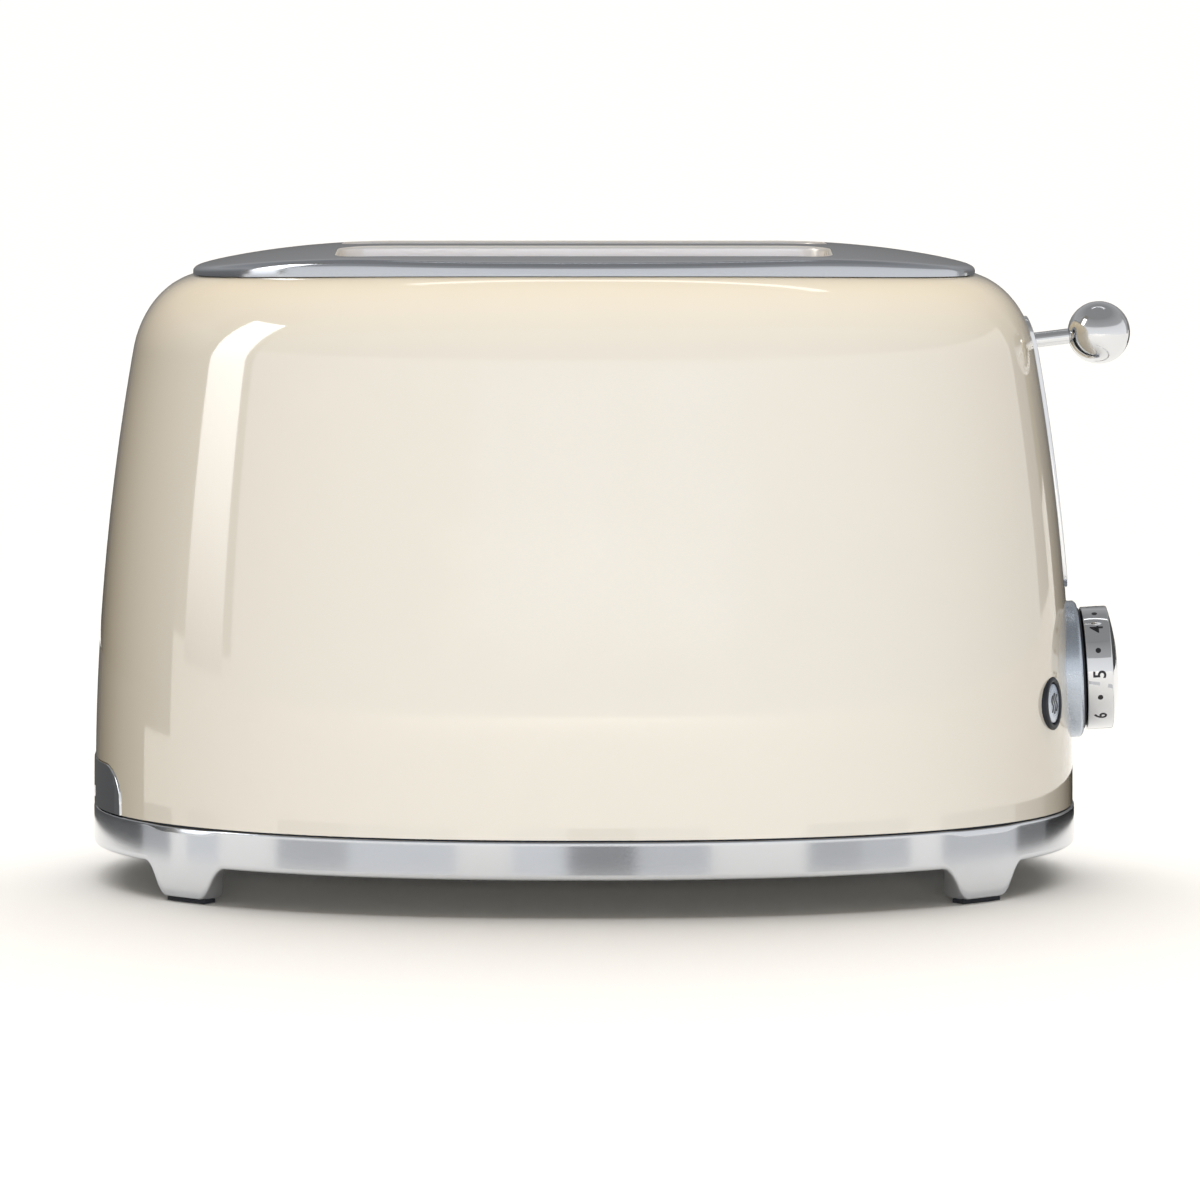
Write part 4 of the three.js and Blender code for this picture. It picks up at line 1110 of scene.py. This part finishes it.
def soft_light(name, place, target, size, power, colour_code, spared=None):
    """A square studio light aimed at a point, which may leave one object unlit."""
    data = bpy.data.lights.new(name, "AREA")
    data.shape = "RECTANGLE"
    data.size, data.size_y = size
    data.energy = power
    data.color = linear(colour_code)[:3]
    lamp = bpy.data.objects.new(name, data)
    bpy.context.scene.collection.objects.link(lamp)
    lamp.location = place
    lamp.rotation_euler = (Vector(target) - Vector(place)).to_track_quat("-Z", "Y").to_euler()
    lamp.visible_glossy = False
    if spared:
        group = bpy.data.collections.new(name + "_spares")
        group.objects.link(spared)
        group.collection_objects[0].light_linking.link_state = "EXCLUDE"
        lamp.light_linking.receiver_collection = group
    return lamp


class SetStage(ToasterOperator, bpy.types.Operator):
    """Lay the pale floor, hang the soft lights and set the camera"""
    bl_idname = "toaster.stage"
    bl_label = "Stage and Camera"

    def execute(self, context):
        scene = context.scene
        scene.view_settings.view_transform = "Standard"
        world = bpy.data.worlds.new("studio")
        scene.world = world
        world.use_nodes = True
        world.node_tree.nodes["Background"].inputs["Color"].default_value = linear("#FFF6E6")
        world.node_tree.nodes["Background"].inputs["Strength"].default_value = 0.24

        bm = bmesh.new()
        bmesh.ops.create_grid(bm, x_segments=1, y_segments=1, size=60)
        floor = held(bm, "floor")
        floor.data.materials.append(material_of(
            "painted_floor", shades(linear("#F2F2F2"), 0.0), (0.9, 0.9), 200,
            **{"Specular IOR Level": 0.0}))
        floor.visible_diffuse = False

        middle = (CENTRE_X, 0, SHELL_HIGH.z / 2)
        sky = bpy.data.lights.new("overhead", "SUN")
        sky.energy = 3.4
        sky.angle = math.radians(80)
        sky.color = linear("#FFFDFA")[:3]
        lamp = bpy.data.objects.new("overhead", sky)
        scene.collection.objects.link(lamp)
        lamp.rotation_euler = (math.radians(-26), 0, 0)
        lamp.visible_glossy = False
        soft_light("front_fill", (0.2, -2.8, 0.6), middle, (1.6, 0.8), 83, "#98BDFF", floor)
        soft_light("low_fill", (0, -2.8, 0.35), middle, (1.6, 0.4), 35, "#FFF8EC")
        soft_light("back_fill", (-0.4, 2.8, 0.5), middle, (2.0, 0.6), 40, "#F1F4FF", floor)

        reflector("front_wall", (-62, 118), 0, 1.03, 2.2, (1.0, 0.85))
        reflector("front_ceiling", (-62, 118), 1.03, 3.3, 2.3, (0.45, 0.3))
        reflector("left_window_foot", (-80, -65), 0.03, 0.8, 2.6, (0.6, 4.0))
        reflector("left_window", (-80, -65), 0.8, 2.7, 2.6, (4.0, 5.5))
        reflector("right_screen", (118, 131), 0, 1.6, 2.6, (0.45, 0.35))
        reflector("back_screen", (131, 277), 0, 0.6, 0.8, (0.06, 0.48), (CENTRE_X, 0))
        reflector("back_ceiling", (95, 268), 0.6, 4.5, 3.1, (0.48, 0.3))
        reflector("ceiling", (0, 360), 4.49, 4.5, 3.1, (0.3, 0.3), reach=3.1)
        reflector("top_strip", (125, 210), 2.35, 2.62, 0.95, (2.2, 2.2))
        for name, span, strength, height in (
            ("left_end_card", (128, 172), 0.1, 60), ("left_end_flag", (172, 188), 0.12, 60),
            ("left_corner_flag", (188, 200), 0.5, 17), ("far_left_flag", (206, 216), 0.85, 17),
            ("left_flag", (230, 243), 0.6, 17), ("left_middle_flag", (243, 258), 0.82, 17),
            ("stand_shade", (264, 269), 0.85, 17), ("camera_stand", (269, 274), 0.32, 17),
            ("stand_shade_right", (274, 282), 0.7, 17), ("right_flag", (295, 304), 0.58, 17),
            ("right_middle_flag", (304, 314), 0.7, 17), ("right_corner_flag", (322, 348), 0.68, 17),
            ("right_end_flag", (348, 362), 0.2, 17), ("right_end_card", (362, 412), 0.02, 17),
        ):
            skirt_flag(name, span, strength, height * MM)

        data = bpy.data.cameras.new("camera")
        data.sensor_width = 36
        data.lens = 200.03
        data.clip_end = 200
        camera = bpy.data.objects.new("camera", data)
        scene.collection.objects.link(camera)
        camera.location = (-3.36 * MM, -2082.4 * MM, 304.6 * MM)
        camera.rotation_euler = (FULL_TURN / 4 - math.radians(5.983), 0, 0)
        scene.camera = camera
        return {"FINISHED"}


# ---- Add-on ----

BUILDERS = (BuildShell, BuildTop, BuildBase, BuildTrims, BuildDial, BuildButtons, BuildLever, BuildGrids,
            FinishWorks, SetStage)


class ToasterPanel(bpy.types.Panel):
    """The steps that build the toaster, and its settings"""
    bl_idname = "VIEW3D_PT_toaster"
    bl_label = "Pop-up Toaster"
    bl_space_type = "VIEW_3D"
    bl_region_type = "UI"
    bl_category = "Toaster"

    def draw(self, context):
        for builder in BUILDERS:
            self.layout.operator(builder.bl_idname)
        for group in settings():
            box = self.layout.box()
            for name in type(group).__annotations__:
                box.prop(group, name)


GROUPS = (("toaster_body", BodySettings), ("toaster_base", BaseSettings),
          ("toaster_controls", ControlSettings), ("toaster_finish", FinishSettings))


def register():
    for name, group in GROUPS:
        bpy.utils.register_class(group)
        setattr(bpy.types.Scene, name, bpy.props.PointerProperty(type=group))
    for builder in (*BUILDERS, ToasterPanel):
        bpy.utils.register_class(builder)


def unregister():
    for builder in (ToasterPanel, *reversed(BUILDERS)):
        bpy.utils.unregister_class(builder)
    for name, group in reversed(GROUPS):
        delattr(bpy.types.Scene, name)
        bpy.utils.unregister_class(group)


def main():
    register()
    for builder in BUILDERS:
        family, step = builder.bl_idname.split(".")
        getattr(getattr(bpy.ops, family), step)()


if __name__ == "__main__":
    main()
